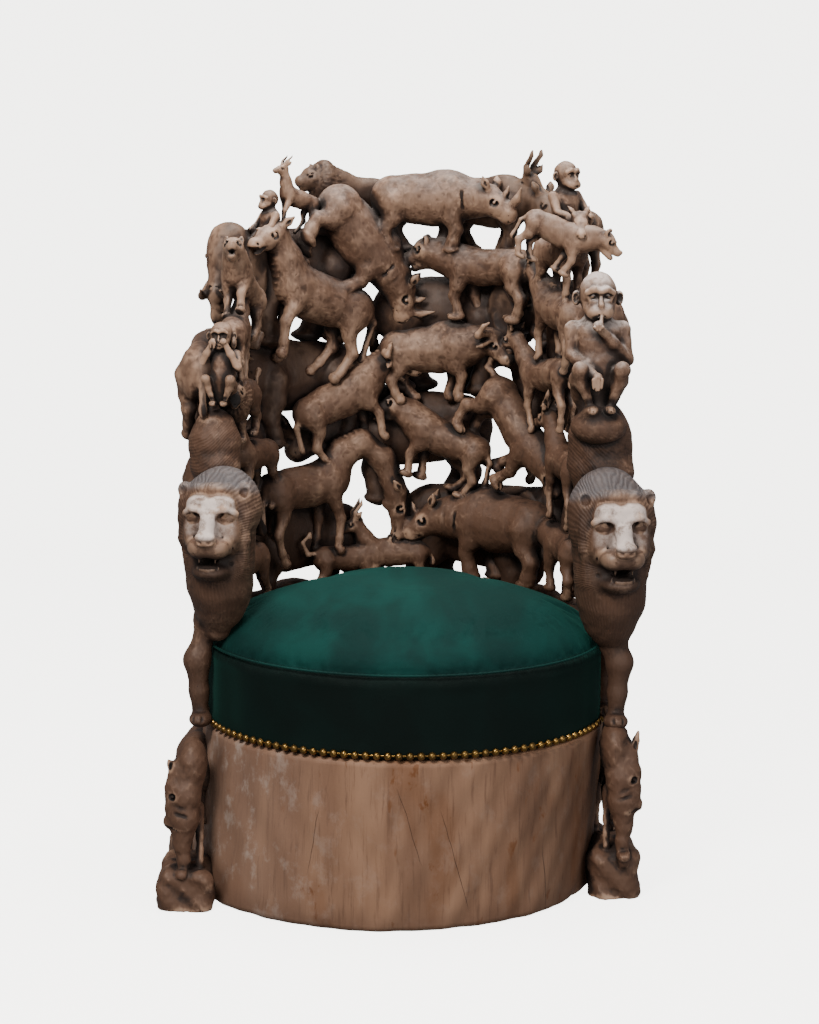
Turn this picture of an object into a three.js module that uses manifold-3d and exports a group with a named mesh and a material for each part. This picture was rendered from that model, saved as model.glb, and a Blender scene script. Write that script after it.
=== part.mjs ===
// A ceremonial throne carved from one tree trunk: a plain round drum in front, and round its back and
// sides a horseshoe of openwork animals that rises into the back rest. Two maned lions stand at the
// ends of the arms. A domed cushion in green velvet sits on the drum, edged with a brass nail trim.
// Millimetres, +Z up, the sitter faces -Y. The origin is the middle of the drum's underside.
// Places on the horseshoe are an angle from the middle of the back, growing towards +X, and a height.
import * as THREE from 'three';
import { mergeVertices } from 'three/addons/utils/BufferGeometryUtils.js';
import Module from 'manifold-3d';

const wasm = await Module();
wasm.setup();

// Driving dimensions.
const DRUM_RADIUS = 335; // the trunk at the seat
const DRUM_HEIGHT = 275; // floor to the underside of the cushion
const DRUM_LEAN = 24; // the trunk's foot stands this far to -X of its top
const FOOT_SWELL = 5; // extra radius at the floor
const RIM_OUTSIDE = 345; // solid wood rim that the back stands on
const RIM_HEIGHT = 432;
const RIM_HALF_ANGLE = 90; // degrees either side of the middle of the back
const LEDGE_INSIDE = 322; // ledge on the floor that the lowest animals stand on
const LEDGE_RADIUS = 404;
const LEDGE_HEIGHT = 54;
const LEDGE_ENDS = [-122, 114];
const STOUT = 1.22; // carved bodies and limbs are this much stockier than life
const INNER_LAYER = 286; // radius of the spine of the animals that face the sitter
const OUTER_LAYER = 340; // the same for the animals on the outside of the back
const SKIRT_LAYER = 372; // and for those that stand on the ledge, against the drum
const CUSHION_BOTTOM = 276;
const SEAM_HEIGHT = 408; // top edge of the cushion's side band
const CROWN_HEIGHT = 504; // top of the dome
const CUSHION_FRONT = 332; // radius of the cushion in front of the arms
const CUSHION_REAR = 243; // and inside the back
const SHOULDERS = [74, 98]; // the cushion narrows between these angles
const CUSHION_GAP = 2; // air between the cushion and the rim
const PLAN_STEP = 9; // degrees between the corners of the cushion's and the rim's plans
const TRIM_BEADS = 60;
const TRIM_HALF_ARC = 88.5; // degrees either side of the front
const TRIM_HEIGHT = 284; // middle of the row of beads
const TRIM_GAP = 0.4; // air behind the strip and behind each nail
const STRIP_THICKNESS = 1.2;
const BEAD_RADIUS = 6;
const NAIL_EVERY = 4; // each fourth bead of the trim is a real nail

const radians = THREE.MathUtils.degToRad;
const lerp = THREE.MathUtils.lerp;
const smooth = THREE.MathUtils.smoothstep;

// ---- Solids ---------------------------------------------------------------------------------------

// A closed surface. A placement that mirrors turns the faces inside out, so they are turned back where
// the volume comes out negative.
function closedGeometry(points, faces) {
  const volume = faces.reduce((sum, [a, b, c]) => {
    const normal = points[b].clone().cross(points[c]);
    return sum + points[a].dot(normal);
  }, 0);
  const outward = volume < 0 ? faces.map(([a, b, c]) => [a, c, b]) : faces;
  return new THREE.BufferGeometry().setFromPoints(points).setIndex(outward.flat());
}

function solidOf(geometry) {
  const bare = geometry.clone().deleteAttribute('normal').deleteAttribute('uv');
  const merged = mergeVertices(bare, 1e-3);
  return new wasm.Manifold(new wasm.Mesh({
    numProp: 3,
    vertProperties: merged.attributes.position.array,
    triVerts: new Uint32Array(merged.index.array),
  }));
}

// Joins by halves, which keeps each boolean small.
function fuse(solids) {
  if (solids.length === 1) return solids[0];
  const half = solids.length >> 1;
  return fuse(solids.slice(0, half)).add(fuse(solids.slice(half)));
}

function meshOf(solid, name, material) {
  const mesh = solid.getMesh();
  const geometry = new THREE.BufferGeometry();
  geometry.setAttribute('position', new THREE.BufferAttribute(new Float32Array(mesh.vertProperties), 3));
  geometry.setIndex(new THREE.BufferAttribute(new Uint32Array(mesh.triVerts), 1));
  geometry.computeVertexNormals();
  const made = new THREE.Mesh(geometry, material);
  made.name = name;
  return made;
}

// A closed surface over rings of points. A ring of one point closes the surface there, and an open end
// ring is closed by a fan.
function loft(rings) {
  const points = rings.flat();
  const faces = [];
  let start = 0;
  rings.slice(1).forEach((ring, i) => {
    const last = rings[i];
    const sides = Math.max(last.length, ring.length);
    const low = (k) => start + (last.length > 1 ? k % sides : 0);
    const high = (k) => start + last.length + (ring.length > 1 ? k % sides : 0);
    for (let k = 0; k < sides; k += 1) {
      if (last.length > 1) faces.push([low(k), low(k + 1), high(k)]);
      if (ring.length > 1) faces.push([low(k + 1), high(k + 1), high(k)]);
    }
    start += last.length;
  });
  const tail = rings[rings.length - 1].length;
  for (let k = 1; k < rings[0].length - 1; k += 1) faces.push([0, k + 1, k]);
  for (let k = 1; k < tail - 1; k += 1) faces.push([start, start + k, start + k + 1]);
  return solidOf(closedGeometry(points, faces));
}

const ACROSS = new THREE.Vector3(0, 1, 0);
const ALONG = new THREE.Vector3(1, 0, 0);

// A limb or a body: stations [forward, across, up, radius] in the creature's own units, a radius of 0
// for a point, and breadth to widen or flatten it across.
function tube(place, sides, breadth, stations) {
  const centres = stations.map(([u, v, w]) => new THREE.Vector3(u, v, w));
  return loft(stations.map(([, , , radius], i) => {
    const ahead = centres[Math.min(i + 1, centres.length - 1)];
    const behind = centres[Math.max(i - 1, 0)];
    const tangent = ahead.clone().sub(behind).normalize();
    const hint = Math.abs(tangent.dot(ACROSS)) > 0.9 ? ALONG : ACROSS;
    const side = hint.clone().addScaledVector(tangent, -tangent.dot(hint)).normalize();
    const top = side.clone().cross(tangent);
    return Array.from({ length: radius === 0 ? 1 : sides }, (_, k) => {
      const turn = (2 * Math.PI * k) / sides;
      const point = centres[i].clone();
      point.addScaledVector(top, radius * Math.cos(turn));
      point.addScaledVector(side, radius * breadth * Math.sin(turn));
      return place(point);
    });
  }));
}

// ---- Placements -----------------------------------------------------------------------------------

const polar = (angle, radius, height) => new THREE.Vector3(
  radius * Math.sin(radians(angle)),
  radius * Math.cos(radians(angle)),
  height,
);

// Bends a creature round the trunk: forward runs along the horseshoe, and across points outwards. size
// is its length from rump to chest.
function onHorseshoe({ angle, height, size, heading = 1, tilt = 0, layer = INNER_LAYER }) {
  const cos = Math.cos(radians(tilt));
  const sin = Math.sin(radians(tilt));
  return (p) => {
    const along = heading * (p.x * cos - p.z * sin) * size;
    const turned = angle + THREE.MathUtils.radToDeg(along / layer);
    return polar(turned, layer + p.y * size, height + (p.x * sin + p.z * cos) * size);
  };
}

// Stands a creature free of the curve. yaw 0 faces the front, and a positive yaw turns it towards +X.
function standing({ x, y, height, size, yaw = 0, tilt = 0 }) {
  const turn = new THREE.Euler(0, -radians(tilt), radians(yaw - 90), 'ZYX');
  const at = new THREE.Vector3(x, y, height);
  return (p) => p.clone().applyEuler(turn).multiplyScalar(size).add(at);
}

// ---- Animals --------------------------------------------------------------------------------------

// The build of each kind, with 1 as its length from rump to chest: girth at rump, belly and chest,
// neck stations [forward, up, radius] as far as the poll, nose to end the head, tail the same way,
// spikes for horns and tusks [forward, up, radius, tip forward, tip up].
const BUILDS = {
  rhino: {
    girth: [0.27, 0.31, 0.29], leg: 0.66, thick: 0.11,
    neck: [[0.8, 0, 0.22]], nose: [1.32, -0.16, 0.11],
    spikes: [[1.24, -0.06, 0.07, 1.38, 0.26], [1.04, 0.06, 0.07, 1.08, 0.3]],
  },
  elephant: {
    girth: [0.32, 0.35, 0.33], leg: 0.72, thick: 0.12,
    neck: [[0.92, 0.12, 0.26], [1.16, -0.1, 0.12]], nose: [1.14, -0.66, 0.06],
    spikes: [[1.08, -0.06, 0.06, 1.42, -0.2]], flap: 0.3,
  },
  buffalo: {
    girth: [0.25, 0.28, 0.3], leg: 0.64, thick: 0.08,
    neck: [[0.92, 0.06, 0.18]], nose: [1.24, -0.18, 0.1], curl: 0.26,
  },
  gnu: {
    girth: [0.2, 0.22, 0.26], leg: 0.7, thick: 0.065, tail: [-0.8, -0.36],
    neck: [[0.9, 0.16, 0.14]], nose: [1.24, -0.08, 0.08], curl: 0.18,
  },
  antelope: {
    girth: [0.2, 0.2, 0.21], leg: 0.8, thick: 0.06,
    neck: [[0.66, 0.24, 0.14], [0.84, 0.58, 0.11]], nose: [1.14, 0.44, 0.06],
    spikes: [[0.82, 0.6, 0.05, 0.66, 1.02]],
  },
  grazer: {
    girth: [0.23, 0.23, 0.24], leg: 0.86, thick: 0.065,
    neck: [[0.66, 0.3, 0.17], [0.96, 0.42, 0.14], [1.24, 0.16, 0.12], [1.34, -0.24, 0.11]],
    nose: [1.26, -0.66, 0.06],
  },
  horse: {
    girth: [0.24, 0.25, 0.24], leg: 0.78, thick: 0.065,
    neck: [[0.68, 0.2, 0.18], [0.94, 0.44, 0.13]], nose: [1.28, 0.24, 0.07],
  },
  hyena: {
    girth: [0.19, 0.21, 0.25], leg: 0.66, thick: 0.07,
    neck: [[0.92, 0.16, 0.16]], nose: [1.3, 0.02, 0.09],
  },
  lioness: {
    girth: [0.2, 0.19, 0.21], leg: 0.64, thick: 0.075, tail: [-0.96, 0.36],
    neck: [[0.9, 0.16, 0.17]], nose: [1.18, 0.04, 0.1],
  },
  hound: {
    girth: [0.24, 0.25, 0.26], leg: 0.92, thick: 0.07,
    neck: [[0.74, 0.02, 0.2]], nose: [0.98, -0.62, 0.08],
    spikes: [[0.8, 0.14, 0.08, 0.84, 0.36]],
  },
  maned: {
    girth: [0.22, 0.22, 0.28], leg: 0.6, thick: 0.08,
    neck: [[0.7, 0.12, 0.33], [0.9, 0.14, 0.24]], nose: [1.2, 0.04, 0.11],
  },
};

// The four legs: [hip, knee and hoof forward, across].
const STRIDES = [
  [-0.46, -0.6, -0.52, -0.13],
  [-0.4, -0.42, -0.3, 0.13],
  [0.46, 0.52, 0.44, -0.13],
  [0.4, 0.3, 0.22, 0.13],
];

// breadth flattens the body across. plain leaves out ear flaps and curled horns, for the animals on the
// far side. Heavy kinds have straight legs.
function quadruped(kind, place, breadth, plain) {
  const { leg, tail, neck, nose, spikes = [], flap = 0, curl = 0 } = BUILDS[kind];
  const [rump, belly, chest] = BUILDS[kind].girth.map((radius) => radius * STOUT);
  const thick = BUILDS[kind].thick * STOUT;
  const level = (stations) => stations.map(([u, w, r]) => [u, 0, w, r * STOUT]);
  const trunk = [
    [-0.48 - rump, 0, -0.04, 0],
    [-0.44, 0, 0, rump],
    [0, 0, -0.03, belly],
    [0.48, 0, 0, chest],
    ...level([...neck, nose]),
  ];
  const legs = STRIDES.map(([hip, knee, hoof, across]) => {
    const stations = [
      [hip, across, -0.05, thick * 1.5],
      [knee, across, -0.1 - leg * 0.45, thick],
      [hoof, across, -0.1 - leg, thick * 0.9],
    ];
    return tube(place, 3, 1, plain || thick > 0.09 ? [stations[0], stations[2]] : stations);
  });
  const solids = [
    tube(place, 4, breadth, trunk),
    ...legs,
    ...spikes.slice(plain ? spikes.length - 1 : 0).map(([u, w, r, tipU, tipW]) => (
      tube(place, 3, 1, [[u, 0, w, r], [tipU, 0, tipW, 0]])
    )),
  ];
  if (tail && !plain) {
    solids.push(tube(place, 3, 1, level([[-0.46 - rump * 0.4, 0.02, 0.07], [...tail, 0]])));
  }
  const [pollU, pollW, pollR] = neck[neck.length - 1];
  [-1, 1].forEach((hand) => {
    if (flap && !plain) {
      solids.push(tube(place, 4, 0.3, [
        [pollU - 0.08, hand * 0.2, pollW + 0.22, flap * 0.5],
        [pollU - 0.3, hand * 0.26, pollW - 0.1, flap],
        [pollU - 0.24, hand * 0.22, pollW - 0.42, 0],
      ]));
    }
    if (curl && !plain) {
      solids.push(tube(place, 3, 1, [
        [pollU - curl * 0.2, hand * 0.06, pollW + 0.06, curl * 0.3],
        [pollU - curl, hand * 0.22, pollW + curl * 0.5, curl * 0.24],
        [pollU - curl * 0.1, hand * 0.2, pollW + curl * 1.3, 0],
      ]));
    }
  });
  return fuse(solids);
}

// A sitting ape. reach places each hand: [forward, across, up]. limbSides is 3 for a small one.
function ape(place, reach, limbSides) {
  const solids = [
    tube(place, limbSides + 1, 1.05, [
      [-0.02, 0, -0.1, 0.36],
      [-0.02, 0, 0.5, 0.42],
      [0.04, 0, 1.12, 0.24],
      [0.1, 0, 1.42, 0.38],
      [0.06, 0, 1.76, 0.26],
    ]),
    tube(place, limbSides, 1, [[0.2, 0, 1.34, 0.28], [0.52, 0, 1.28, 0.17]]),
  ];
  [-1, 1].forEach((hand, i) => {
    solids.push(tube(place, limbSides, 1, [
      [0, hand * 0.2, 0.06, 0.24],
      [0.56, hand * 0.36, 0.42, 0.18],
      [0.42, hand * 0.26, -0.46, 0.13],
    ]));
    solids.push(tube(place, limbSides, 1, [
      [0, hand * 0.3, 0.92, 0.2],
      [0.22, hand * 0.56, 0.46, 0.14],
      [...reach[i], 0.1],
    ]));
  });
  return fuse(solids);
}

// ---- The herd -------------------------------------------------------------------------------------

const RIGHT = 1;
const LEFT = -1;

// Animals that face the sitter, from the top of the back downwards: kind, angle and height of the
// middle of the body, size, the way it faces round the horseshoe, and how far its nose is tipped up.
const INNER_HERD = [
  ['rhino', 6, 1126, 118, RIGHT, 0],
  ['rhino', -17, 1066, 122, RIGHT, -52],
  ['horse', -31, 956, 140, LEFT, 22],
  ['lioness', 31, 1012, 124, LEFT, 0],
  ['buffalo', 8, 864, 116, RIGHT, 4],
  ['gnu', -26, 776, 120, RIGHT, 24],
  ['hyena', 16, 704, 112, LEFT, 20],
  ['lioness', 42, 745, 128, RIGHT, -50],
  ['grazer', -40, 630, 130, RIGHT, 6],
  ['rhino', 38, 566, 134, LEFT, 0],
  ['antelope', -66, 700, 100, LEFT, 4],
  ['horse', 68, 946, 104, LEFT, 8],
  ['antelope', 60, 836, 104, LEFT, -6],
  ['horse', 66, 1046, 98, RIGHT, 5],
  ['antelope', 76, 690, 106, LEFT, 4],
  ['lioness', 76, 548, 106, LEFT, 0],
  ['antelope', -74, 522, 108, LEFT, 0],
  ['hyena', -72, 985, 96, LEFT, 34],
  ['antelope', -88, 920, 94, RIGHT, 0],
  ['maned', -80, 806, 98, LEFT, 0],
];

// Animals on the outside of the back and sides, which also show through the gaps from the front.
const OUTER_HERD = [
  ['maned', -13, 1134, 100, LEFT, 6],
  ['rhino', 24, 1120, 112, RIGHT, 0],
  ['antelope', 56, 1084, 118, LEFT, 0],
  ['elephant', -36, 1010, 156, LEFT, 0],
  ['elephant', 12, 922, 160, RIGHT, 0],
  ['buffalo', 68, 930, 156, RIGHT, 0],
  ['rhino', -34, 820, 156, LEFT, 0],
  ['antelope', 54, 772, 144, LEFT, 0],
  ['buffalo', -86, 856, 140, RIGHT, 0],
  ['horse', -70, 672, 154, RIGHT, 0],
  ['rhino', 4, 722, 170, LEFT, 0],
  ['horse', 76, 590, 150, RIGHT, 0],
  ['elephant', 22, 552, 172, RIGHT, 0],
  ['buffalo', -34, 534, 168, LEFT, 0],
];

// Animals round the foot: one row on the ledge and one on their backs.
const SKIRT_HERD = [
  ['hound', -98, 203, 150, LEFT, 0],
  ['elephant', -46, 178, 176, LEFT, 0],
  ['rhino', 20, 176, 180, RIGHT, 0],
  ['hound', 88, 203, 150, RIGHT, 0],
  ['buffalo', -62, 382, 172, RIGHT, 0],
  ['rhino', -2, 380, 176, RIGHT, 0],
  ['buffalo', 58, 382, 172, LEFT, 0],
];

const LAYERS = [
  { rows: INNER_HERD, layer: INNER_LAYER, breadth: 0.9, plain: false },
  { rows: OUTER_HERD, layer: OUTER_LAYER, breadth: 0.68, plain: true },
  { rows: SKIRT_HERD, layer: SKIRT_LAYER, breadth: 0.75, plain: true },
];
const herd = LAYERS.flatMap(({ rows, layer, breadth, plain }) => (
  rows.map(([kind, angle, height, size, heading, tilt]) => (
    quadruped(kind, onHorseshoe({ angle, height, size, heading, tilt, layer }), breadth, plain)
  ))
));

const MONKEY = { x: 310, y: -62, height: 826, size: 103, yaw: 4 };
const HIDING_MONKEY = { x: -300, y: -52, height: 822, size: 62, yaw: -8 };
const LEFT_APE = { x: -232, y: 190, height: 1052, size: 48, yaw: -55 };
const RIGHT_APE = { x: 262, y: 84, height: 1072, size: 66, yaw: 40 };
const OUTLOOK = { x: 247, y: 20, height: 1086, size: 82, yaw: 78, tilt: -22 };
const apes = [
  ape(standing(MONKEY), [[0.62, -0.1, 0.36], [0.5, 0.02, 1.02]], 4),
  ape(standing(HIDING_MONKEY), [[0.5, -0.16, 1.3], [0.5, 0.16, 1.3]], 3),
  ape(standing(LEFT_APE), [[0.62, -0.3, 0.5], [0.62, 0.3, 0.5]], 3),
  ape(standing(RIGHT_APE), [[0.62, -0.3, 0.5], [0.62, 0.3, 0.5]], 3),
];
// A hyena over the monkey's head that looks out to the side.
const lookout = quadruped('hyena', standing(OUTLOOK), 0.8, false);

// A maned lion at the end of an arm. Its body follows the horseshoe and its head looks forward.
// In its own frame the head is in millimetres round the middle of the mane.
function armLion({ hand, x, y, height, yaw }) {
  const along = (p) => polar(hand * p.x, 362 + p.y, p.z);
  const head = standing({ x, y, height, size: 1, yaw });
  const body = [[66, -4, 590, 0], [74, -4, 590, 58], [106, -6, 582, 64], [116, -10, 566, 34]];
  const rings = body.map(([angle, out, up, radius]) => (
    Array.from({ length: radius === 0 ? 1 : 6 }, (_, k) => {
      const turn = (2 * Math.PI * k) / 6;
      const side = out + radius * 0.7 * Math.sin(turn);
      return along(new THREE.Vector3(angle, side, up + radius * 1.2 * Math.cos(turn)));
    })
  ));
  const leg = (angle, out, foot) => {
    const levels = [[550, 34, 0], [400, 25, 8], [foot, 20, 0]];
    return loft(levels.map(([up, radius, bow]) => Array.from({ length: 4 }, (_, k) => {
      const turn = (Math.PI * k) / 2 + Math.PI / 4;
      const step = angle + (radius * Math.cos(turn)) / 6.3;
      return along(new THREE.Vector3(step, out + bow + radius * Math.sin(turn), up));
    })));
  };
  const solids = [
    loft(rings),
    leg(74, 0, 270),
    leg(84, 8, 270),
    leg(104, 4, 262),
    leg(113, 8, 258),
    tube(head, 7, 0.8, [[-64, 0, -8, 50], [-8, 0, -10, 82], [34, 0, 4, 50]]),
    tube(head, 5, 0.9, [[10, 0, 10, 60], [76, 0, -16, 30]]),
    tube(head, 4, 0.9, [[20, 0, -50, 36], [68, 0, -60, 16]]),
    tube(head, 6, 0.8, [[-24, 0, -60, 62], [-10, 0, -130, 50], [-12, 0, -196, 0]]),
  ];
  [-1, 1].forEach((side) => {
    solids.push(tube(head, 3, 1, [[0, side * 42, 40, 20], [4, side * 58, 66, 10]]));
  });
  return fuse(solids);
}

const lions = [
  armLion({ hand: LEFT, x: -318, y: -150, height: 642, yaw: -12 }),
  armLion({ hand: RIGHT, x: 338, y: -140, height: 632, yaw: 10 }),
];

// Crouching rumps behind the lions' manes, where the monkey and the left arm's animals stand.
const haunches = [
  [100, 326, 724, 48],
  [-100, 318, 724, 41],
].map(([angle, radius, height, girth]) => tube(
  onHorseshoe({ angle, height, size: 1, layer: radius }),
  6,
  0.9,
  [[0, 0, -80, 30], [0, 0, 0, girth], [0, 0, 52, 30]],
));

// ---- The trunk ------------------------------------------------------------------------------------

const CIRCLE = 30;

function leaning(point) {
  return point.setX(point.x - DRUM_LEAN * (1 - Math.min(point.z / DRUM_HEIGHT, 1)));
}

function drum() {
  const levels = [[0, FOOT_SWELL], [DRUM_HEIGHT, 0]];
  return loft(levels.map(([height, swell]) => Array.from({ length: CIRCLE }, (_, k) => (
    leaning(polar((360 * k) / CIRCLE, DRUM_RADIUS + swell, height))
  ))));
}

// Radius of the cushion's plan: the drum's in front, then concave shoulders between the arms' ends,
// then the smaller round of the seat inside the back.
function cushionRadius(angle) {
  return lerp(CUSHION_REAR, CUSHION_FRONT, smooth(Math.abs(angle), ...SHOULDERS));
}

// A wall round part of the trunk, with profile(angle) giving its inside and outside radius.
function wall([from, to], low, high, steps, profile) {
  return loft(Array.from({ length: steps + 1 }, (_, i) => {
    const angle = lerp(from, to, i / steps);
    const [inside, outside] = profile(angle);
    return [[inside, low], [outside, low], [outside, high], [inside, high]].map(([radius, height]) => (
      leaning(polar(angle, radius, height))
    ));
  }));
}

const RIM_STEPS = (2 * RIM_HALF_ANGLE) / PLAN_STEP;
const RIM_ENDS = [-RIM_HALF_ANGLE, RIM_HALF_ANGLE];
const LEDGE_STEPS = 12;
const rim = wall(RIM_ENDS, DRUM_HEIGHT - 10, RIM_HEIGHT, RIM_STEPS, (angle) => [
  cushionRadius(angle) + CUSHION_GAP,
  RIM_OUTSIDE,
]);
const ledge = wall(LEDGE_ENDS, 0, LEDGE_HEIGHT, LEDGE_STEPS, (angle) => [
  LEDGE_INSIDE,
  LEDGE_RADIUS + 8 * Math.cos(radians(angle * 6)),
]);

// ---- Cushion and trim -----------------------------------------------------------------------------

function cushion() {
  const steps = 360 / PLAN_STEP;
  const ring = (share, inset, height) => Array.from({ length: steps }, (_, k) => {
    const angle = PLAN_STEP * k - 180;
    return polar(angle, (cushionRadius(angle) - inset) * share, height);
  });
  return loft([
    ring(1, 0, CUSHION_BOTTOM),
    ring(1, 0, SEAM_HEIGHT),
    ring(0.86, 0, lerp(SEAM_HEIGHT, CROWN_HEIGHT, 0.5)),
    ring(0.6, 0, lerp(SEAM_HEIGHT, CROWN_HEIGHT, 0.82)),
    ring(0.3, 0, lerp(SEAM_HEIGHT, CROWN_HEIGHT, 0.97)),
    [new THREE.Vector3(0, 0, CROWN_HEIGHT)],
  ]);
}

const beadAngle = (index) => 180 + lerp(-TRIM_HALF_ARC, TRIM_HALF_ARC, index / (TRIM_BEADS - 1));
const isNail = (index) => index % NAIL_EVERY === 2;

// One brass strip pressed into a row of domes, pinched flat between them and where a nail goes through.
function trimStrip() {
  const back = CUSHION_FRONT + TRIM_GAP;
  const ring = (index, proud, half) => [
    polar(beadAngle(index), back, TRIM_HEIGHT - half),
    polar(beadAngle(index), back + proud, TRIM_HEIGHT),
    polar(beadAngle(index), back, TRIM_HEIGHT + half),
  ];
  const rings = [ring(-0.5, STRIP_THICKNESS, BEAD_RADIUS / 2)];
  for (let i = 0; i < TRIM_BEADS; i += 1) {
    if (!isNail(i)) rings.push(ring(i, BEAD_RADIUS * 0.8, BEAD_RADIUS));
    rings.push(ring(i + 0.5, STRIP_THICKNESS, BEAD_RADIUS / 2));
  }
  return loft(rings);
}

function nail(index, order) {
  const height = BEAD_RADIUS * 0.5;
  const head = new THREE.CylinderGeometry(BEAD_RADIUS * 0.5, BEAD_RADIUS * 0.84, height, 6);
  const made = new THREE.Mesh(head, brassMaterial);
  made.name = `trim_nail_${String(order + 1).padStart(2, '0')}`;
  const seat = CUSHION_FRONT + 2 * TRIM_GAP + STRIP_THICKNESS;
  made.position.copy(polar(beadAngle(index), seat + height / 2, TRIM_HEIGHT));
  made.rotation.z = -radians(beadAngle(index));
  return made;
}

const woodMaterial = new THREE.MeshStandardMaterial({ color: 0x7a5c48, roughness: 0.75, metalness: 0 });
const velvetMaterial = new THREE.MeshStandardMaterial({ color: 0x0f4a3c, roughness: 0.9, metalness: 0 });
const brassMaterial = new THREE.MeshStandardMaterial({ color: 0x8f6a3a, roughness: 0.35, metalness: 1 });

const throne = new THREE.Group();
const carving = fuse([drum(), rim, ledge, ...herd, ...apes, lookout, ...lions, ...haunches]);
throne.add(meshOf(carving, 'carved_trunk', woodMaterial));
throne.add(meshOf(cushion(), 'seat_cushion', velvetMaterial));
throne.add(meshOf(trimStrip(), 'nail_trim', brassMaterial));
Array.from({ length: TRIM_BEADS }, (_, i) => i).filter(isNail).forEach((index, order) => {
  throne.add(nail(index, order));
});

export default throne;
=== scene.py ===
"""A throne carved from one tree trunk, dressed in wood, velvet and brass.

The carved animals are modelled the way a carver works: each is roughed out from round masses that
flow into each other, then cut with eyes, mouths, ears and combed hair. The masses live in a block of
small cells, and the block's skin becomes the mesh.
"""

import logging
import math
from dataclasses import dataclass, field
from enum import Enum
from typing import Callable, Iterable, Optional, Sequence, Union

import bmesh
import bpy
import numpy as np
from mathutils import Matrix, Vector


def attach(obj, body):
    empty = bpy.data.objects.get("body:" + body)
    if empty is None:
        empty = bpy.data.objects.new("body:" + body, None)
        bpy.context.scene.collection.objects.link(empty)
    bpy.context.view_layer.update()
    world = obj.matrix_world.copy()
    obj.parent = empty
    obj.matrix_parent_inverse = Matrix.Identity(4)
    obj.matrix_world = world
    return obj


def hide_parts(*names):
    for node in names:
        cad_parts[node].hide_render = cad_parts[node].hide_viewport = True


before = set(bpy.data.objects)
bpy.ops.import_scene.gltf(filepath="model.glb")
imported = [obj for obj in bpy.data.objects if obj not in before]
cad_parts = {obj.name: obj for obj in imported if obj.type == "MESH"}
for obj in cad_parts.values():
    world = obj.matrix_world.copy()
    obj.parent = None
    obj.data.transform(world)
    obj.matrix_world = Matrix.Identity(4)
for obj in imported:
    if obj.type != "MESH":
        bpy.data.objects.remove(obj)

LOG = logging.getLogger("throne")
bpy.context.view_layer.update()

Array = np.ndarray
Piece = bpy.types.Object
Mesh = bmesh.types.BMesh
Axes = tuple[Array, Array, Array]
Point = tuple[float, float, float]
Station = tuple[float, float, float, float]
ROLL_RADIUS = 0.30  # the radius at which the trunk's skin is unrolled
RIGHT, LEFT = 1, -1


class Foot(Enum):
    """What an animal stands on."""

    HOOF = "hoof"
    PAW = "paw"
    PAD = "pad"


# ---- The block and the carver's strokes ----


def blend_min(a: Array, b: Array, blend: float) -> Array:
    """Joins two masses with a soft fillet.

    Args:
        a: Distance to the first mass.
        b: Distance to the second mass.
        blend: Width of the fillet.

    Returns:
        The distance to the joined mass.
    """
    near = np.maximum(blend - np.abs(a - b), 0.0)
    return np.minimum(a, b) - near * near * (0.25 / blend)


def rolled_to_world(points: Array) -> Array:
    """Rolls points (along, radius, height) back round the trunk.

    Args:
        points: Places in the unrolled block.

    Returns:
        The same places in the world.
    """
    turn = points[:, 0] / ROLL_RADIUS
    return np.stack([points[:, 1] * np.sin(turn), points[:, 1] * np.cos(turn), points[:, 2]], axis=1)


@dataclass
class Stance:
    """Where a creature stands, as a frame of its own with a scale."""

    size: float

    def to_own(self, x: Array, y: Array, z: Array) -> Axes:
        """Turns block places into the creature's forward, across and up."""
        raise NotImplementedError

    def to_block(self, place: Sequence[float]) -> Array:
        """Turns a place on the creature into a block place."""
        raise NotImplementedError


@dataclass
class OnTrunk(Stance):
    """A stance round the trunk, in a block that is unrolled round it."""

    angle: float = 0.0
    height: float = 0.0
    heading: int = RIGHT
    tilt: float = 0.0
    layer: float = 0.286

    def to_own(self, x: Array, y: Array, z: Array) -> Axes:
        """Turns unrolled places into the creature's forward, across and up.

        Args:
            x: Places along the first axis.
            y: Places along the second axis.
            z: Heights.

        Returns:
            Forward, across and up, in its own units.
        """
        cos, sin = math.cos(math.radians(self.tilt)), math.sin(math.radians(self.tilt))
        along = (x / ROLL_RADIUS - math.radians(self.angle)) * (self.layer * self.heading)
        rise = z - self.height
        forward = (along * cos + rise * sin) / self.size
        up = (rise * cos - along * sin) / self.size
        return forward, (y - self.layer) / self.size, up

    def to_block(self, place: Sequence[float]) -> Array:
        """Turns a place on the creature into an unrolled place.

        Args:
            place: Forward, across and up, in its own units.

        Returns:
            The place in the block.
        """
        cos, sin = math.cos(math.radians(self.tilt)), math.sin(math.radians(self.tilt))
        u, v, w = place
        along = self.heading * (u * cos - w * sin) * self.size
        turn = math.radians(self.angle) + along / self.layer
        return np.array(
            [turn * ROLL_RADIUS, self.layer + v * self.size, self.height + (u * sin + w * cos) * self.size]
        )


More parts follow.
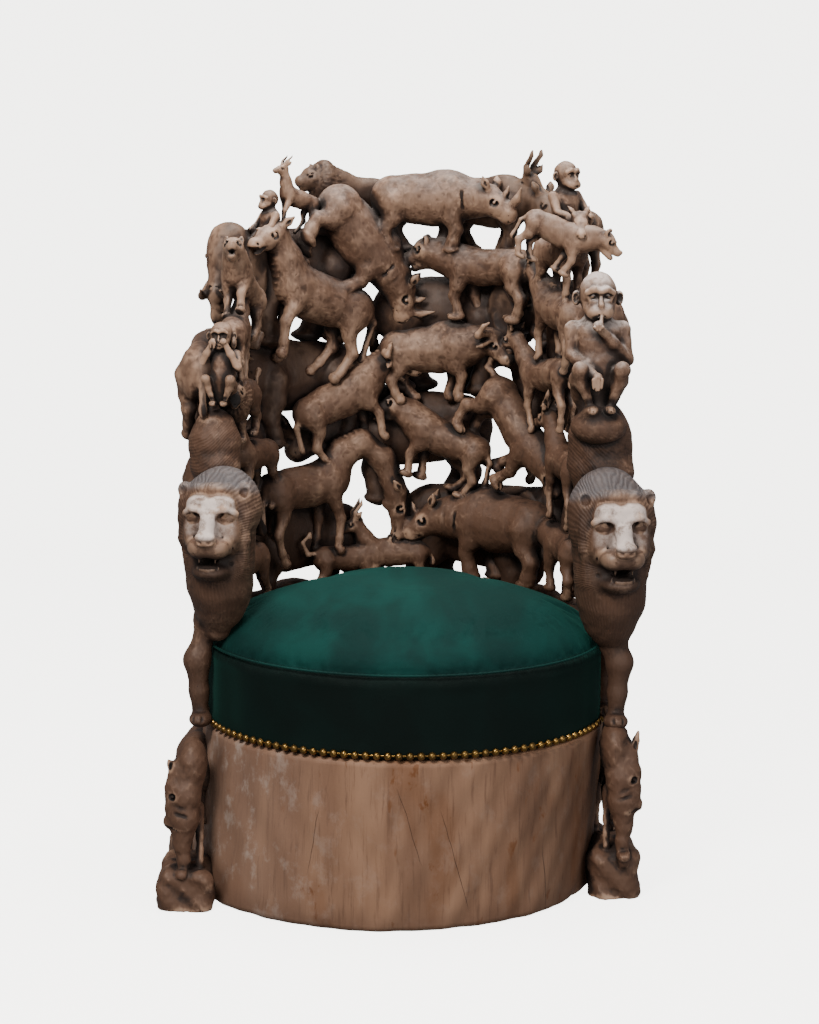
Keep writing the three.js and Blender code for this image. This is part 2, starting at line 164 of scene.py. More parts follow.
@dataclass
class Upright(Stance):
    """A free stance. A yaw of 0 faces the front and a positive yaw turns towards +X."""

    x: float = 0.0
    y: float = 0.0
    height: float = 0.0
    yaw: float = 0.0
    tilt: float = 0.0

    def _axes(self) -> Axes:
        """Gives the forward, across and up directions.

        Returns:
            Forward, across and up, each of length 1.
        """
        yaw, tilt = math.radians(self.yaw), math.radians(self.tilt)
        flat = np.array([math.sin(yaw), -math.cos(yaw), 0.0])
        up = np.array([0.0, 0.0, 1.0])
        forward = flat * math.cos(tilt) + up * math.sin(tilt)
        top = up * math.cos(tilt) - flat * math.sin(tilt)
        return forward, np.cross(top, forward), top

    def to_own(self, x: Array, y: Array, z: Array) -> Axes:
        """Turns world places into the creature's forward, across and up."""
        dx, dy, dz = x - self.x, y - self.y, z - self.height
        return tuple((dx * a[0] + dy * a[1] + dz * a[2]) / self.size for a in self._axes())

    def to_block(self, place: Sequence[float]) -> Array:
        """Turns a place on the creature into a world place.

        Args:
            place: Forward, across and up, in its own units.

        Returns:
            The place in the block.
        """
        forward, across, top = self._axes()
        u, v, w = place
        return np.array([self.x, self.y, self.height]) + (forward * u + across * v + top * w) * self.size


@dataclass
class Stroke:
    """One mass, cut or combing, in a creature's own units."""

    places: list[Point]
    radii: list[float]
    blend: float
    flat: float = 1.0
    cut: bool = False
    ball: Optional[Point] = None
    wave: Optional[Callable[[Array, Array, Array], Array]] = None

    def reach(self) -> float:
        """Gives how far the stroke is felt from its places."""
        wide = max(self.ball) if self.ball else max(self.radii) * max(self.flat, 1.0)
        return wide + self.blend + 0.03

    def distance(self, u: Array, v: Array, w: Array) -> Array:
        """Gives the distance to the mass.

        Args:
            u: Places forward.
            v: Places across.
            w: Places up.

        Returns:
            The distance, negative inside.
        """
        if self.ball:
            a, b, c = self.places[0]
            ru, rv, rw = self.ball
            du, dv, dw = (u - a) / ru, (v - b) / rv, (w - c) / rw
            near = np.sqrt(du * du + dv * dv + dw * dw) + 1e-6
            slope = np.sqrt((du / ru) ** 2 + (dv / rv) ** 2 + (dw / rw) ** 2) + 1e-6
            return near * (near - 1.0) / slope
        best: Optional[Array] = None
        pairs = zip(zip(self.places, self.radii), zip(self.places[1:], self.radii[1:]))
        for (start, r0), (end, r1) in pairs:
            step = [(e - s) / f for s, e, f in zip(start, end, (1, self.flat, 1))]
            length = sum(s * s for s in step) + 1e-9
            du, dv, dw = u - start[0], (v - start[1]) / self.flat, w - start[2]
            dot = du * step[0] + dv * step[1] + dw * step[2]
            share = np.clip(dot / length, 0.0, 1.0)
            square = du * du + dv * dv + dw * dw - share * (2.0 * dot - share * length)
            found = np.sqrt(np.maximum(square, 0.0)) - (r0 + (r1 - r0) * share)
            best = found if best is None else blend_min(best, found, self.blend)
        return best


@dataclass
class Block:
    """A block of cells. Its field is the distance to the wood, in metres, and is negative inside."""

    low: Point
    high: Point
    step: float
    rolled: bool = True
    cells: Array = field(init=False)

    def __post_init__(self) -> None:
        """Fills the block with air."""
        counts = [int(math.ceil((b - a) / self.step)) + 1 for a, b in zip(self.low, self.high)]
        self.cells = np.full(counts, 0.02, np.float32)

    def window(self, low: Array, high: Array) -> Optional[tuple[slice, slice, slice]]:
        """Gives the cells between two corners, or None where they are all outside the block.

        Args:
            low: Lowest corner of the box.
            high: Highest corner of the box.

        Returns:
            A slice along each axis, or None.
        """
        spans = []
        for a, b, origin, count in zip(low, high, self.low, self.cells.shape):
            start = max(int(math.floor((a - origin) / self.step)), 0)
            stop = min(int(math.ceil((b - origin) / self.step)) + 1, count)
            if stop - start < 2:
                return None
            spans.append(slice(start, stop))
        return tuple(spans)

    def places(self, window: tuple[slice, slice, slice]) -> Axes:
        """Gives the places of a window's cells as arrays that broadcast.

        Args:
            window: The cells.

        Returns:
            Three arrays that broadcast to the window.
        """
        axes = [
            (self.low[i] + self.step * np.arange(window[i].start, window[i].stop)).astype(np.float32)
            for i in range(3)
        ]
        return axes[0][:, None, None], axes[1][None, :, None], axes[2][None, None, :]

    def skin(self) -> tuple[Array, Array]:
        """Draws the wood's skin as points and four-sided faces.

        Returns:
            The points and the faces.
        """
        cells = self.cells
        for axis in range(3):
            edge = np.moveaxis(cells, axis, 0)
            edge[0] = np.maximum(edge[0], 0.001)
            edge[-1] = np.maximum(edge[-1], 0.001)
        inside = cells < 0
        corners = [(i, j, k) for i in (0, 1) for j in (0, 1) for k in (0, 1)]
        size = [n - 1 for n in cells.shape]
        count = np.zeros(size, np.uint8)
        for i, j, k in corners:
            count += inside[i : i + size[0], j : j + size[1], k : k + size[2]]
        index = np.argwhere((count > 0) & (count < 8))
        names = np.full(size, -1, np.int32)
        names[tuple(index.T)] = np.arange(len(index), dtype=np.int32)
        values = np.stack(
            [cells[index[:, 0] + i, index[:, 1] + j, index[:, 2] + k] for i, j, k in corners], 1
        )
        total, found = np.zeros((len(index), 3), np.float32), np.zeros(len(index), np.float32)
        for a, corner in enumerate(corners):
            for axis in range(3):
                if corner[axis]:
                    continue
                b = a + (4, 2, 1)[axis]
                crossed = (values[:, a] < 0) != (values[:, b] < 0)
                share = values[crossed, a] / (values[crossed, a] - values[crossed, b])
                spot = np.tile(np.array(corner, np.float32), (int(crossed.sum()), 1))
                spot[:, axis] += share
                total[crossed] += spot
                found[crossed] += 1
        points = (index + total / found[:, None]) * self.step + np.array(self.low)
        faces = []
        for axis in range(3):
            others = [i for i in range(3) if i != axis]
            line = np.moveaxis(inside, axis, 0)
            crossed = np.argwhere(line[:-1] != line[1:])
            flipped = line[:-1][tuple(crossed.T)]
            spot = np.empty_like(crossed)
            spot[:, [axis] + others] = crossed
            keep = (spot[:, others[0]] > 0) & (spot[:, others[1]] > 0)
            spot, flipped = spot[keep], flipped[keep]
            one, two = np.zeros(3, int), np.zeros(3, int)
            one[others[0]], two[others[1]] = 1, 1
            ring = [spot, spot - one, spot - one - two, spot - two]
            quad = np.stack([names[tuple(np.minimum(r, np.array(size) - 1).T)] for r in ring], 1)
            turned = flipped if axis != 1 else ~flipped
            quad[turned] = quad[turned][:, ::-1]
            faces.append(quad[(quad >= 0).all(axis=1)])
        return points, np.concatenate(faces)

    def sample(self, points: Array) -> Array:
        """Gives the field at places in the world.

        Args:
            points: Places in the world.

        Returns:
            The distance to the wood at each place.
        """
        if self.rolled:
            turn = np.arctan2(points[:, 0], points[:, 1]) * ROLL_RADIUS
            points = np.stack([turn, np.hypot(points[:, 0], points[:, 1]), points[:, 2]], axis=1)
        index = np.rint((points - np.array(self.low)) / self.step).astype(int)
        return self.cells[tuple(np.clip(index, 0, np.array(self.cells.shape) - 1).T)]

    def wood(self) -> Array:
        """Gives the places of the cells that are wood, in the world.

        Returns:
            The places.
        """
        index = np.argwhere(self.cells[::2, ::2, ::2] < 0) * 2
        points = index * self.step + np.array(self.low)
        return rolled_to_world(points) if self.rolled else points


class Carving:
    """One creature being carved: its strokes are gathered, then cut into a block."""

    def __init__(self, stance: Stance) -> None:
        """Starts a creature at a stance."""
        self.stance = stance
        self.strokes: list[Stroke] = []

    def limb(self, stations: Sequence[Station], blend: float = 0.05, flat: float = 1.0) -> None:
        """Adds a limb through stations (forward, across, up, radius)."""
        places = [(s[0], s[1], s[2]) for s in stations]
        self.strokes.append(Stroke(places, [s[3] for s in stations], blend, flat))

    def ball(self, place: Point, radii: Point, blend: float = 0.05) -> None:
        """Adds a rounded mass with its own radius along each direction."""
        self.strokes.append(Stroke([place], [0.0], blend, ball=radii))

    def groove(self, stations: Sequence[Station], blend: float = 0.02) -> None:
        """Cuts a groove through stations."""
        places = [(s[0], s[1], s[2]) for s in stations]
        self.strokes.append(Stroke(places, [s[3] for s in stations], blend, cut=True))

    def socket(self, place: Point, radii: Point, blend: float = 0.02) -> None:
        """Cuts a rounded hollow."""
        self.strokes.append(Stroke([place], [0.0], blend, ball=radii, cut=True))

    def comb(self, place: Point, radius: float, wave: Callable[[Array, Array, Array], Array]) -> None:
        """Moves the skin in and out by a wave, within a radius of a place."""
        self.strokes.append(Stroke([place], [radius], 0.0, wave=wave))

    def cut_into(self, block: Block, fillet: float = 0.002) -> None:
        """Cuts the creature into a block.

        Args:
            block: The block that it is part of.
            fillet: Width of the fillet where it meets what is already there.
        """
        size = self.stance.size
        step = block.step
        boxes = []
        for stroke in self.strokes:
            spots = np.array([self.stance.to_block(p) for p in stroke.places])
            reach = stroke.reach() * size + step
            boxes.append((spots.min(axis=0) - reach, spots.max(axis=0) + reach))
        whole = block.window(np.min([b[0] for b in boxes], axis=0), np.max([b[1] for b in boxes], axis=0))
        if whole is None:
            return
        local = np.full([w.stop - w.start for w in whole], 0.02, np.float32)
        for stroke, (low, high) in zip(self.strokes, boxes):
            window = block.window(low, high)
            if window is None:
                continue
            inner = tuple(slice(w.start - h.start, w.stop - h.start) for w, h in zip(window, whole))
            if any(s.start < 0 for s in inner):
                continue
            u, v, w = self.stance.to_own(*block.places(window))
            held = local[inner]
            if stroke.wave is not None:
                local[inner] = held + np.broadcast_to(stroke.wave(u, v, w), held.shape) * size
                continue
            near = (stroke.distance(u, v, w) * size).astype(np.float32)
            blend = max(stroke.blend * size, 1e-5)
            local[inner] = -blend_min(-held, near, blend) if stroke.cut else blend_min(held, near, blend)
        block.cells[whole] = blend_min(block.cells[whole], local, fillet)


# ---- Animals ----


class Head(Enum):
    """The families of heads that the carver knows."""

    RHINO = "rhino"
    ELEPHANT = "elephant"
    HORNED = "horned"
    LONG = "long"
    SNOUT = "snout"
    MANED = "maned"


@dataclass(frozen=True)
class Build:
    """How a kind of animal is built, with 1 as its length from rump to chest."""

    head: Head
    girth: tuple[float, float, float]
    leg: float
    thick: float
    foot: Foot
    neck: tuple[Point, ...]
    nose: Point
    tail: tuple[tuple[float, float], ...] = ((-0.74, -0.1), (-0.78, -0.4))
    horn: float = 0.0
    crest: bool = False
    hump: float = 0.0
    gape: float = 0.0


RHINO = Build(
    Head.RHINO, (0.28, 0.31, 0.29), 0.68, 0.1, Foot.PAD,
    ((0.78, 0.0, 0.24), (1.0, -0.02, 0.19)), (1.34, -0.2, 0.12), ((-0.72, 0.0), (-0.72, -0.3)), hump=0.14,
)
ELEPHANT = Build(
    Head.ELEPHANT, (0.32, 0.35, 0.33), 0.74, 0.12, Foot.PAD,
    ((0.8, 0.1, 0.27), (1.02, 0.14, 0.25)), (1.2, -0.04, 0.15), ((-0.8, 0.0), (-0.8, -0.36)),
)
BUFFALO = Build(
    Head.HORNED, (0.26, 0.28, 0.3), 0.66, 0.08, Foot.HOOF,
    ((0.76, 0.06, 0.22), (0.98, 0.08, 0.17)), (1.26, -0.2, 0.11), horn=0.3, hump=0.12,
)
GNU = Build(
    Head.HORNED, (0.21, 0.23, 0.26), 0.72, 0.065, Foot.HOOF,
    ((0.72, 0.12, 0.19), (0.94, 0.18, 0.15)), (1.28, -0.1, 0.09), horn=0.22, crest=True,
)
ANTELOPE = Build(
    Head.LONG, (0.2, 0.21, 0.21), 0.84, 0.058, Foot.HOOF,
    ((0.64, 0.26, 0.15), (0.82, 0.58, 0.115)), (1.16, 0.44, 0.07), ((-0.66, 0.02), (-0.72, -0.16)), horn=0.48,
)
GRAZER = Build(
    Head.LONG, (0.23, 0.23, 0.24), 0.88, 0.062, Foot.HOOF,
    (
        (0.68, 0.3, 0.18), (0.98, 0.42, 0.15), (1.24, 0.18, 0.14), (1.36, -0.3, 0.13)
    ), (1.36, -0.9, 0.09), crest=True,
)
HORSE = Build(
    Head.LONG, (0.24, 0.25, 0.24), 0.8, 0.065, Foot.HOOF,
    (
        (0.68, 0.22, 0.19), (0.94, 0.46, 0.14)
    ), (1.3, 0.2, 0.085), ((-0.76, -0.06), (-0.8, -0.5)), crest=True, gape=0.05,
)
HYENA = Build(
    Head.SNOUT, (0.2, 0.22, 0.25), 0.68, 0.068, Foot.PAW,
    ((0.72, 0.12, 0.21), (0.94, 0.18, 0.17)), (1.3, 0.04, 0.1), gape=0.035,
)
LIONESS = Build(
    Head.SNOUT, (0.21, 0.2, 0.22), 0.66, 0.075, Foot.PAW,
    ((0.72, 0.1, 0.2), (0.92, 0.16, 0.18)), (1.2, 0.06, 0.12), (
        (-0.84, 0.1), (-0.98, 0.36), (-0.8, 0.52)
    ), gape=0.02,
)
HOUND = Build(
    Head.SNOUT, (0.23, 0.24, 0.25), 0.92, 0.06, Foot.PAW,
    ((0.68, 0.04, 0.22), (0.84, -0.04, 0.2)), (0.98, -0.52, 0.11), ((-0.72, -0.1), (-0.72, -0.5)),
)
MANED = Build(
    Head.MANED, (0.22, 0.22, 0.28), 0.62, 0.08, Foot.PAW,
    ((0.72, 0.1, 0.26), (0.92, 0.14, 0.2)), (1.2, 0.06, 0.12), ((-0.82, 0.08), (-0.94, 0.34)),
)

STRIDES = (
    (-0.46, -0.62, -0.52, -0.13),
    (-0.4, -0.44, -0.3, 0.13),
    (0.46, 0.53, 0.44, -0.13),
    (0.4, 0.32, 0.22, 0.13),
)


class Beast(Carving):
    """A four-legged animal."""

    def __init__(self, build: Build, stance: Stance, breadth: float = 0.9, plain: bool = False) -> None:
        """Carves an animal.

        Args:
            build: Its kind.
            stance: Where it stands.
            breadth: How far its body is flattened across.
            plain: Whether it is roughed out with fewer cuts, for the far side.
        """
        super().__init__(stance)
        self.build, self.breadth, self.plain = build, breadth, plain
        self.poll, self.muzzle = build.neck[-1], build.nose
        span = (self.muzzle[0] - self.poll[0], self.muzzle[1] - self.poll[1])
        self.reach = math.hypot(*span)
        self.ahead = (span[0] / self.reach, span[1] / self.reach)
        self.body()
        self.legs()
        self.tail()
        getattr(self, f"{build.head.value}_head")()
        self.neck_hair()

    def at(self, share: float, rise: float, side: float = 0.0) -> Point:
        """Gives a place on the head: a share of the way from the poll to the nose, and up from there.

        Args:
            share: Share of the way from the poll to the nose.
            rise: How far up from that line.
            side: How far to the side.

        Returns:
            The place.
        """
        along = share * self.reach
        a, b = self.ahead
        return (self.poll[0] + a * along - b * rise, side, self.poll[1] + b * along + a * rise)

    def spot(self, share: float, rise: float, side: float, radius: float) -> Station:
        """Gives a station on the head."""
        return (*self.at(share, rise, side), radius)

    def along_head(self, stations: Sequence[Station], blend: float, flat: float = 1.0) -> None:
        """Adds a limb through stations (share, rise, side, radius) on the head."""
        self.limb([self.spot(*s) for s in stations], blend, flat)

    def body(self) -> None:
        """Carves the barrel of the body, the haunches, the shoulders and the neck."""
        rump, belly, chest = (g * 1.16 for g in self.build.girth)
        flat = self.breadth
        self.limb(
            [(-0.46, 0, 0, rump), (-0.12, 0, -0.02, belly * 0.96), (0.16, 0, -0.04, belly),
            (0.48, 0, 0, chest)], 0.12, flat
        )
        neck = [(0.44, 0, 0.02, chest * 0.92)] + [(u, 0, w, r * 1.12) for u, w, r in self.build.neck]
        self.limb(neck, 0.1, flat)
        if self.build.hump:
            self.ball((0.32, 0, chest * 0.8), (0.26, 0.16, self.build.hump), 0.12)
        for side in (-1, 1):
            self.ball((-0.44, side * rump * 0.55 * flat, -0.04), (rump * 0.82, 0.13, rump * 1.02), 0.05)
            self.ball((0.42, side * chest * 0.58 * flat, -0.06), (chest * 0.66, 0.12, chest * 0.98), 0.05)

    def legs(self) -> None:
        """Carves four legs, with bent hocks and wrists and the right kind of foot."""
        leg, thick, foot = self.build.leg, self.build.thick * 1.08, self.build.foot
        for i, (hip, knee, hoof, across) in enumerate(STRIDES):
            side = across * (1.15 if foot is Foot.PAD else 1.0)
            ground = -0.1 - leg
            bend = -0.1 - leg * (0.52 if i < 2 else 0.5)
            swell = 2.1 if i < 2 else 1.7
            slim = 0.96 if foot is Foot.PAD else 0.78
            self.limb(
                [(hip, side * 0.9, -0.06, thick * swell),
                ((hip + knee) / 2 + (0.06 if i < 2 else -0.02), side, -0.1 - leg * 0.26, thick * 1.35),
                (knee, side, bend, thick * 0.98),
                (lerp(knee, hoof, 0.6), side, lerp(bend, ground, 0.62), thick * slim),
                (hoof, side, ground + 0.05, thick * slim)], 0.05
            )
            self.foot(hoof, side, ground, thick)

    def foot(self, along: float, side: float, ground: float, thick: float) -> None:
        """Carves one foot.

        Args:
            along: How far forward.
            side: How far to the side.
            ground: Height of the ground.
            thick: Thickness of the leg.
        """
        kind = self.build.foot
        if kind is Foot.HOOF:
            self.limb(
                [(along, side, ground + 0.07, thick * 0.75),
                (along + 0.03, side, ground + 0.015, thick * 1.1)], 0.02
            )
            self.groove(
                [(along + 0.12, side, ground, 0.012), (along + 0.08, side, ground + 0.08, 0.006)], 0.01
            )
        elif kind is Foot.PAW:
            self.ball(
                (along + thick * 0.7, side, ground + 0.03), (thick * 1.7, thick * 1.25, thick * 0.85), 0.03
            )
            for toe in (-0.4, 0.4):
                start = (along + thick * 1.4, side + toe * thick, ground + 0.09, 0.012)
                self.groove([start, (along + thick * 2.6, side + toe * thick, ground, 0.016)], 0.01)
        else:
            self.ball((along + 0.02, side, ground + 0.03), (thick * 1.35, thick * 1.2, thick * 0.6), 0.03)
            for toe in (-0.5, 0.1, 0.7):
                self.ball(
                    (along + thick * 1.1, side + toe * thick * 0.9, ground + 0.03), (0.04, 0.035, 0.035),
                    0.01
                )

    def tail(self) -> None:
        """Carves the tail, with a tuft at its end."""
        rump = self.build.girth[0]
        places = [(-0.44 - rump * 0.7, 0.1), *self.build.tail]
        stations = [(u, 0.0, w, 0.055 - 0.008 * i) for i, (u, w) in enumerate(places)]
        self.limb(stations, 0.04)
        end = places[-1]
        self.ball((end[0], 0, end[1] - 0.03), (0.06, 0.05, 0.09), 0.03)

    def eye(self, share: float, rise: float, side: float, size: float = 0.036) -> None:
        """Carves a bulging eye in a hollow, under a brow.

        Args:
            share: Share of the way from the poll to the nose.
            rise: How far up from that line.
            side: How far to each side.
            size: Radius of the eyeball.
        """
        for hand in (-1, 1):
            spot = self.at(share, rise, hand * side)
            self.socket(spot, (size * 1.9, size * 1.5, size * 1.5), 0.02)
            self.ball(spot, (size, size * 1.05, size * 0.95), 0.004)
            brow = [(share - 0.14, rise + size * 1.3, hand * side * 0.9, size * 0.5)]
            brow.append((share + 0.12, rise + size * 1.5, hand * side * 0.86, size * 0.45))
            self.along_head(brow, 0.02)

    def ear(self, share: float, rise: float, side: float, back: float, lift: float, wide: float) -> None:
        """Carves leaf-shaped ears with a hollow in each.

        Args:
            share: Share of the way from the poll to the nose.
            rise: How far up from that line.
            side: How far to each side.
            back: How far its tip leans back.
            lift: How far its tip stands up.
            wide: Its half width.
        """
        for hand in (-1, 1):
            root = self.at(share, rise, hand * side)
            mid = (root[0] - back * 0.5, root[1] + hand * 0.06, root[2] + lift * 0.55)
            tip = (root[0] - back, root[1] + hand * 0.1, root[2] + lift)
            self.limb([(*root, wide * 0.6), (*mid, wide), (*tip, wide * 0.3)], 0.03)
            if not self.plain:
                cup = []
                for (u, v, w), out, girth in ((mid, 0.6 * wide, 0.42), (tip, 0.6 * wide * 0.6, 0.2)):
                    cup.append((u + out, v + hand * out, w - 0.03, wide * girth))
                self.groove(cup, 0.02)

    def mouth(self, start: float, end: float, rise: float, width: float, gape: float = 0.014) -> None:
        """Cuts the mouth along both sides of the muzzle.

        Args:
            start: Share of the head where it starts.
            end: Share of the head where it ends.
            rise: How far up from the middle line.
            width: Its half width.
            gape: How wide it opens.
        """
        for hand in (-1, 1):
            corner = self.spot(start, rise, hand * width, 0.01)
            self.groove([corner, self.spot(end, rise, hand * width * 0.5, gape)], 0.012)
        self.groove([self.spot(end, rise, side * width * 0.5, gape) for side in (-1, 1)], 0.012)

    def nostrils(self, share: float, rise: float, side: float, size: float = 0.02) -> None:
        """Cuts two nostrils."""
        for hand in (-1, 1):
            self.socket(self.at(share, rise, hand * side), (size * 1.4, size, size), 0.01)

    def rhino_head(self) -> None:
        """Carves a low heavy head with two horns on the nose."""
        self.along_head([(0, 0, 0, 0.21), (0.5, 0.0, 0, 0.17), (1.0, 0.0, 0, 0.135)], 0.08, 0.85)
        self.ball(self.at(1.02, -0.06), (0.12, 0.1, 0.1), 0.06)
        self.along_head([(0.95, 0.08, 0, 0.08), (1.1, 0.24, 0, 0.055), (1.08, 0.44, 0, 0.016)], 0.05)
        self.along_head([(0.5, 0.12, 0, 0.06), (0.56, 0.24, 0, 0.04), (0.52, 0.34, 0, 0.014)], 0.04)
        self.ear(-0.05, 0.15, 0.12, 0.04, 0.2, 0.06)
        self.eye(0.45, 0.06, 0.145, 0.034)
        self.mouth(0.7, 1.2, -0.08, 0.1)
        self.nostrils(1.14, 0.0, 0.07)
        for u in (0.66, 0.84):
            self.groove([(u, -0.26, 0.1, 0.01), (u + 0.02, -0.24, -0.22, 0.01)], 0.04)
            self.groove([(u, 0.26, 0.1, 0.01), (u + 0.02, 0.24, -0.22, 0.01)], 0.04)

    def elephant_head(self) -> None:
        """Carves a domed head with flap ears, tusks and a hanging trunk."""
        self.ball((1.0, 0, 0.16), (0.27, 0.24, 0.3), 0.1)
        self.ball((1.0, 0, 0.34), (0.18, 0.2, 0.16), 0.08)
        self.limb(
            [(1.16, 0, 0.02, 0.15), (1.28, 0, -0.24, 0.105), (1.24, 0, -0.5, 0.08), (1.14, 0, -0.72, 0.06),
            (1.24, 0, -0.82, 0.05)], 0.06
        )
        for ring in range(6):
            w = -0.18 - ring * 0.09
            u = 1.36 - ring * 0.02
            self.groove([(u, -0.08, w, 0.012), (u, 0.08, w, 0.012)], 0.01)
        for hand in (-1, 1):
            self.ball((0.82, hand * 0.25, 0.08), (0.22, 0.05, 0.34), 0.04)
            self.ball((0.78, hand * 0.27, -0.14), (0.13, 0.045, 0.2), 0.04)
            self.socket((0.84, hand * 0.31, 0.1), (0.13, 0.03, 0.22), 0.02)
            self.limb(
                [(1.16, hand * 0.12, -0.14, 0.055), (1.34, hand * 0.15, -0.28, 0.04),
                (1.48, hand * 0.11, -0.2, 0.016)], 0.03
            )
            self.socket((1.14, hand * 0.19, 0.14), (0.06, 0.04, 0.05), 0.02)
            self.ball((1.14, hand * 0.185, 0.14), (0.035, 0.035, 0.033), 0.004)

    def horned_head(self) -> None:
        """Carves a broad head with curled horns."""
        horn = self.build.horn
        self.along_head([(0, 0, 0, 0.18), (0.5, 0.0, 0, 0.145), (1.0, 0, 0, 0.11)], 0.06, 0.92)
        self.ball(self.at(0.1, 0.1), (0.14, 0.16, 0.1), 0.06)
        self.ball(self.at(1.02, 0.0), (0.11, 0.12, 0.1), 0.05)
        for hand in (-1, 1):
            base = self.at(0.02, 0.14, hand * 0.08)
            curl = [
                (base[0], base[1], base[2], 0.075),
                (base[0] - horn * 0.3, hand * (0.1 + horn * 0.5), base[2] + 0.03, 0.07),
                (base[0] - horn * 0.3, hand * (0.12 + horn * 0.85), base[2] - 0.02 + horn * 0.1, 0.055),
                (base[0] + horn * 0.1, hand * (0.12 + horn * 0.9), base[2] + horn * 0.45, 0.036),
                (base[0] + horn * 0.35, hand * (0.1 + horn * 0.7), base[2] + horn * 0.62, 0.014),
            ]
            self.limb(curl, 0.03)
            self.limb(
                [(base[0] - 0.02, hand * 0.14, base[2] - 0.1, 0.045),
                (base[0] - 0.1, hand * 0.28, base[2] - 0.14, 0.045),
                (base[0] - 0.14, hand * 0.36, base[2] - 0.16, 0.015)], 0.02
            )
        self.eye(0.4, 0.05, 0.135, 0.034)
        self.mouth(0.75, 1.16, -0.05, 0.09)
        self.nostrils(1.12, 0.03, 0.06, 0.024)
        if self.build.crest:
            self.along_head([(0.4, -0.14, 0, 0.06), (0.7, -0.2, 0, 0.04)], 0.04)

    def long_head(self) -> None:
        """Carves a long head: an antelope, a horse or a giraffe."""
        poll, nose = self.poll[2], self.muzzle[2]
        self.limb(
            [self.spot(0, 0.02, 0, poll * 1.1), self.spot(0.45, 0.02, 0, poll * 0.95),
            self.spot(1.0, 0, 0, nose * 1.05)], 0.05, 0.9
        )
        self.ball(self.at(0.26, -0.06), (0.13, 0.08, 0.1), 0.04)
        self.ball(self.at(1.0, 0.0), (nose * 1.4, nose * 1.15, nose * 1.2), 0.03)
        self.ear(0.02, 0.1, 0.08, 0.1, 0.18, 0.052)
        self.eye(0.4, 0.06, poll * 0.82, 0.032)
        self.mouth(0.7, 1.24, -0.05, nose * 0.95, 0.014 + self.build.gape)
        self.nostrils(1.12, 0.035, nose * 0.6, 0.018)
        if self.build.horn:
            rise = self.build.horn
            for hand in (-1, 1):
                root = self.at(0.2, 0.08, hand * 0.05)
                self.limb(
                    [(*root, 0.05), (root[0] - 0.04, hand * 0.08, root[2] + rise * 0.4, 0.042),
                    (root[0] - 0.16, hand * 0.11, root[2] + rise * 0.75, 0.034),
                    (root[0] - 0.18, hand * 0.1, root[2] + rise, 0.012)], 0.02
                )

    def snout_head(self) -> None:
        """Carves the head of a cat or a hound, with its jaws apart."""
        gape = self.build.gape
        self.ball(self.at(0.14, 0.03), (0.2, 0.18, 0.175), 0.06)
        self.limb([self.spot(0.35, 0.0, 0, 0.125), self.spot(0.98, 0.0, 0, self.muzzle[2] * 0.88)], 0.05)
        self.along_head([(0.2, -0.13, 0, 0.09), (0.92, -0.12 - gape, 0, 0.06)], 0.04)
        self.ball(self.at(1.1, 0.05), (0.05, 0.055, 0.045), 0.012)
        self.groove(
            [self.spot(0.62, -0.085 - gape * 0.3, 0, 0.012 + gape * 0.3),
            self.spot(1.3, -0.08 - gape * 0.5, 0, 0.02 + gape)], 0.012
        )
        self.mouth(0.5, 1.24, -0.08, 0.13, 0.014 + gape * 0.5)
        self.eye(0.46, 0.085, 0.115, 0.034)
        self.nostrils(1.2, 0.045, 0.03, 0.014)
        for hand in (-1, 1):
            spot = self.at(-0.04, 0.17, hand * 0.13)
            self.ball(spot, (0.06, 0.045, 0.085), 0.02)
            self.socket((spot[0] + 0.045, spot[1] + hand * 0.02, spot[2] + 0.005), (0.03, 0.035, 0.05), 0.01)

    def maned_head(self) -> None:
        """Carves a small lion's head in a combed mane."""
        self.ball((0.76, 0, 0.08), (0.24, 0.33, 0.4), 0.06)
        self.ball((0.62, 0, -0.04), (0.22, 0.3, 0.36), 0.08)
        self.hair((0.72, 0.0, 0.1), 0.44, 26.0, 0.02)
        self.snout_head()

    def hair(self, place: Point, radius: float, strands: float, depth: float) -> None:
        """Combs hair that runs back from the face.

        Args:
            place: Middle of the hair.
            radius: How far it reaches.
            strands: How many strands go round.
            depth: How deep they are cut.
        """

        def wave(u: Array, v: Array, w: Array) -> Array:
            """Gives how far the combing moves the skin at each place."""
            turn = np.arctan2(v, w - place[2] + 1e-6)
            far = np.sqrt((u - place[0]) ** 2 + v * v + (w - place[2]) ** 2)
            fade = np.clip((radius - far) / (radius * 0.3), 0, 1) * np.clip(far / radius * 2 - 0.7, 0, 1)
            return depth * fade * np.sin(turn * strands + far * 6)

        self.comb(place, radius, wave)

    def neck_hair(self) -> None:
        """Combs a crest along the top of the neck."""
        if not self.build.crest:
            return
        places = [(0.42, 0.26 if len(self.build.neck) < 3 else 0.2, 0.05), *self.build.neck]
        ridge = [(u - 0.06, 0.0, w + r * 0.95, 0.045) for u, w, r in places]
        self.limb(ridge, 0.03)

        def wave(u: Array, v: Array, w: Array) -> Array:
            """Gives how far the combing moves the skin at each place."""
            return 0.008 * np.sin(u * 70 + w * 50) * np.clip(1 - np.abs(v) * 12, 0, 1)

        self.comb((0.72, 0, 0.3), 0.55, wave)


def lerp(start: float, end: float, share: float) -> float:
    """Gives the value a share of the way from one value to another."""
    return start + (end - start) * share


Arms = Sequence[tuple[Point, Point]]


def level_arms(elbow: Point, wrist: Point) -> Arms:
    """Gives both arms the same bend, from the elbow and the hand on the +v side."""
    return [tuple((u, side * v, w) for u, v, w in (elbow, wrist)) for side in (-1, 1)]


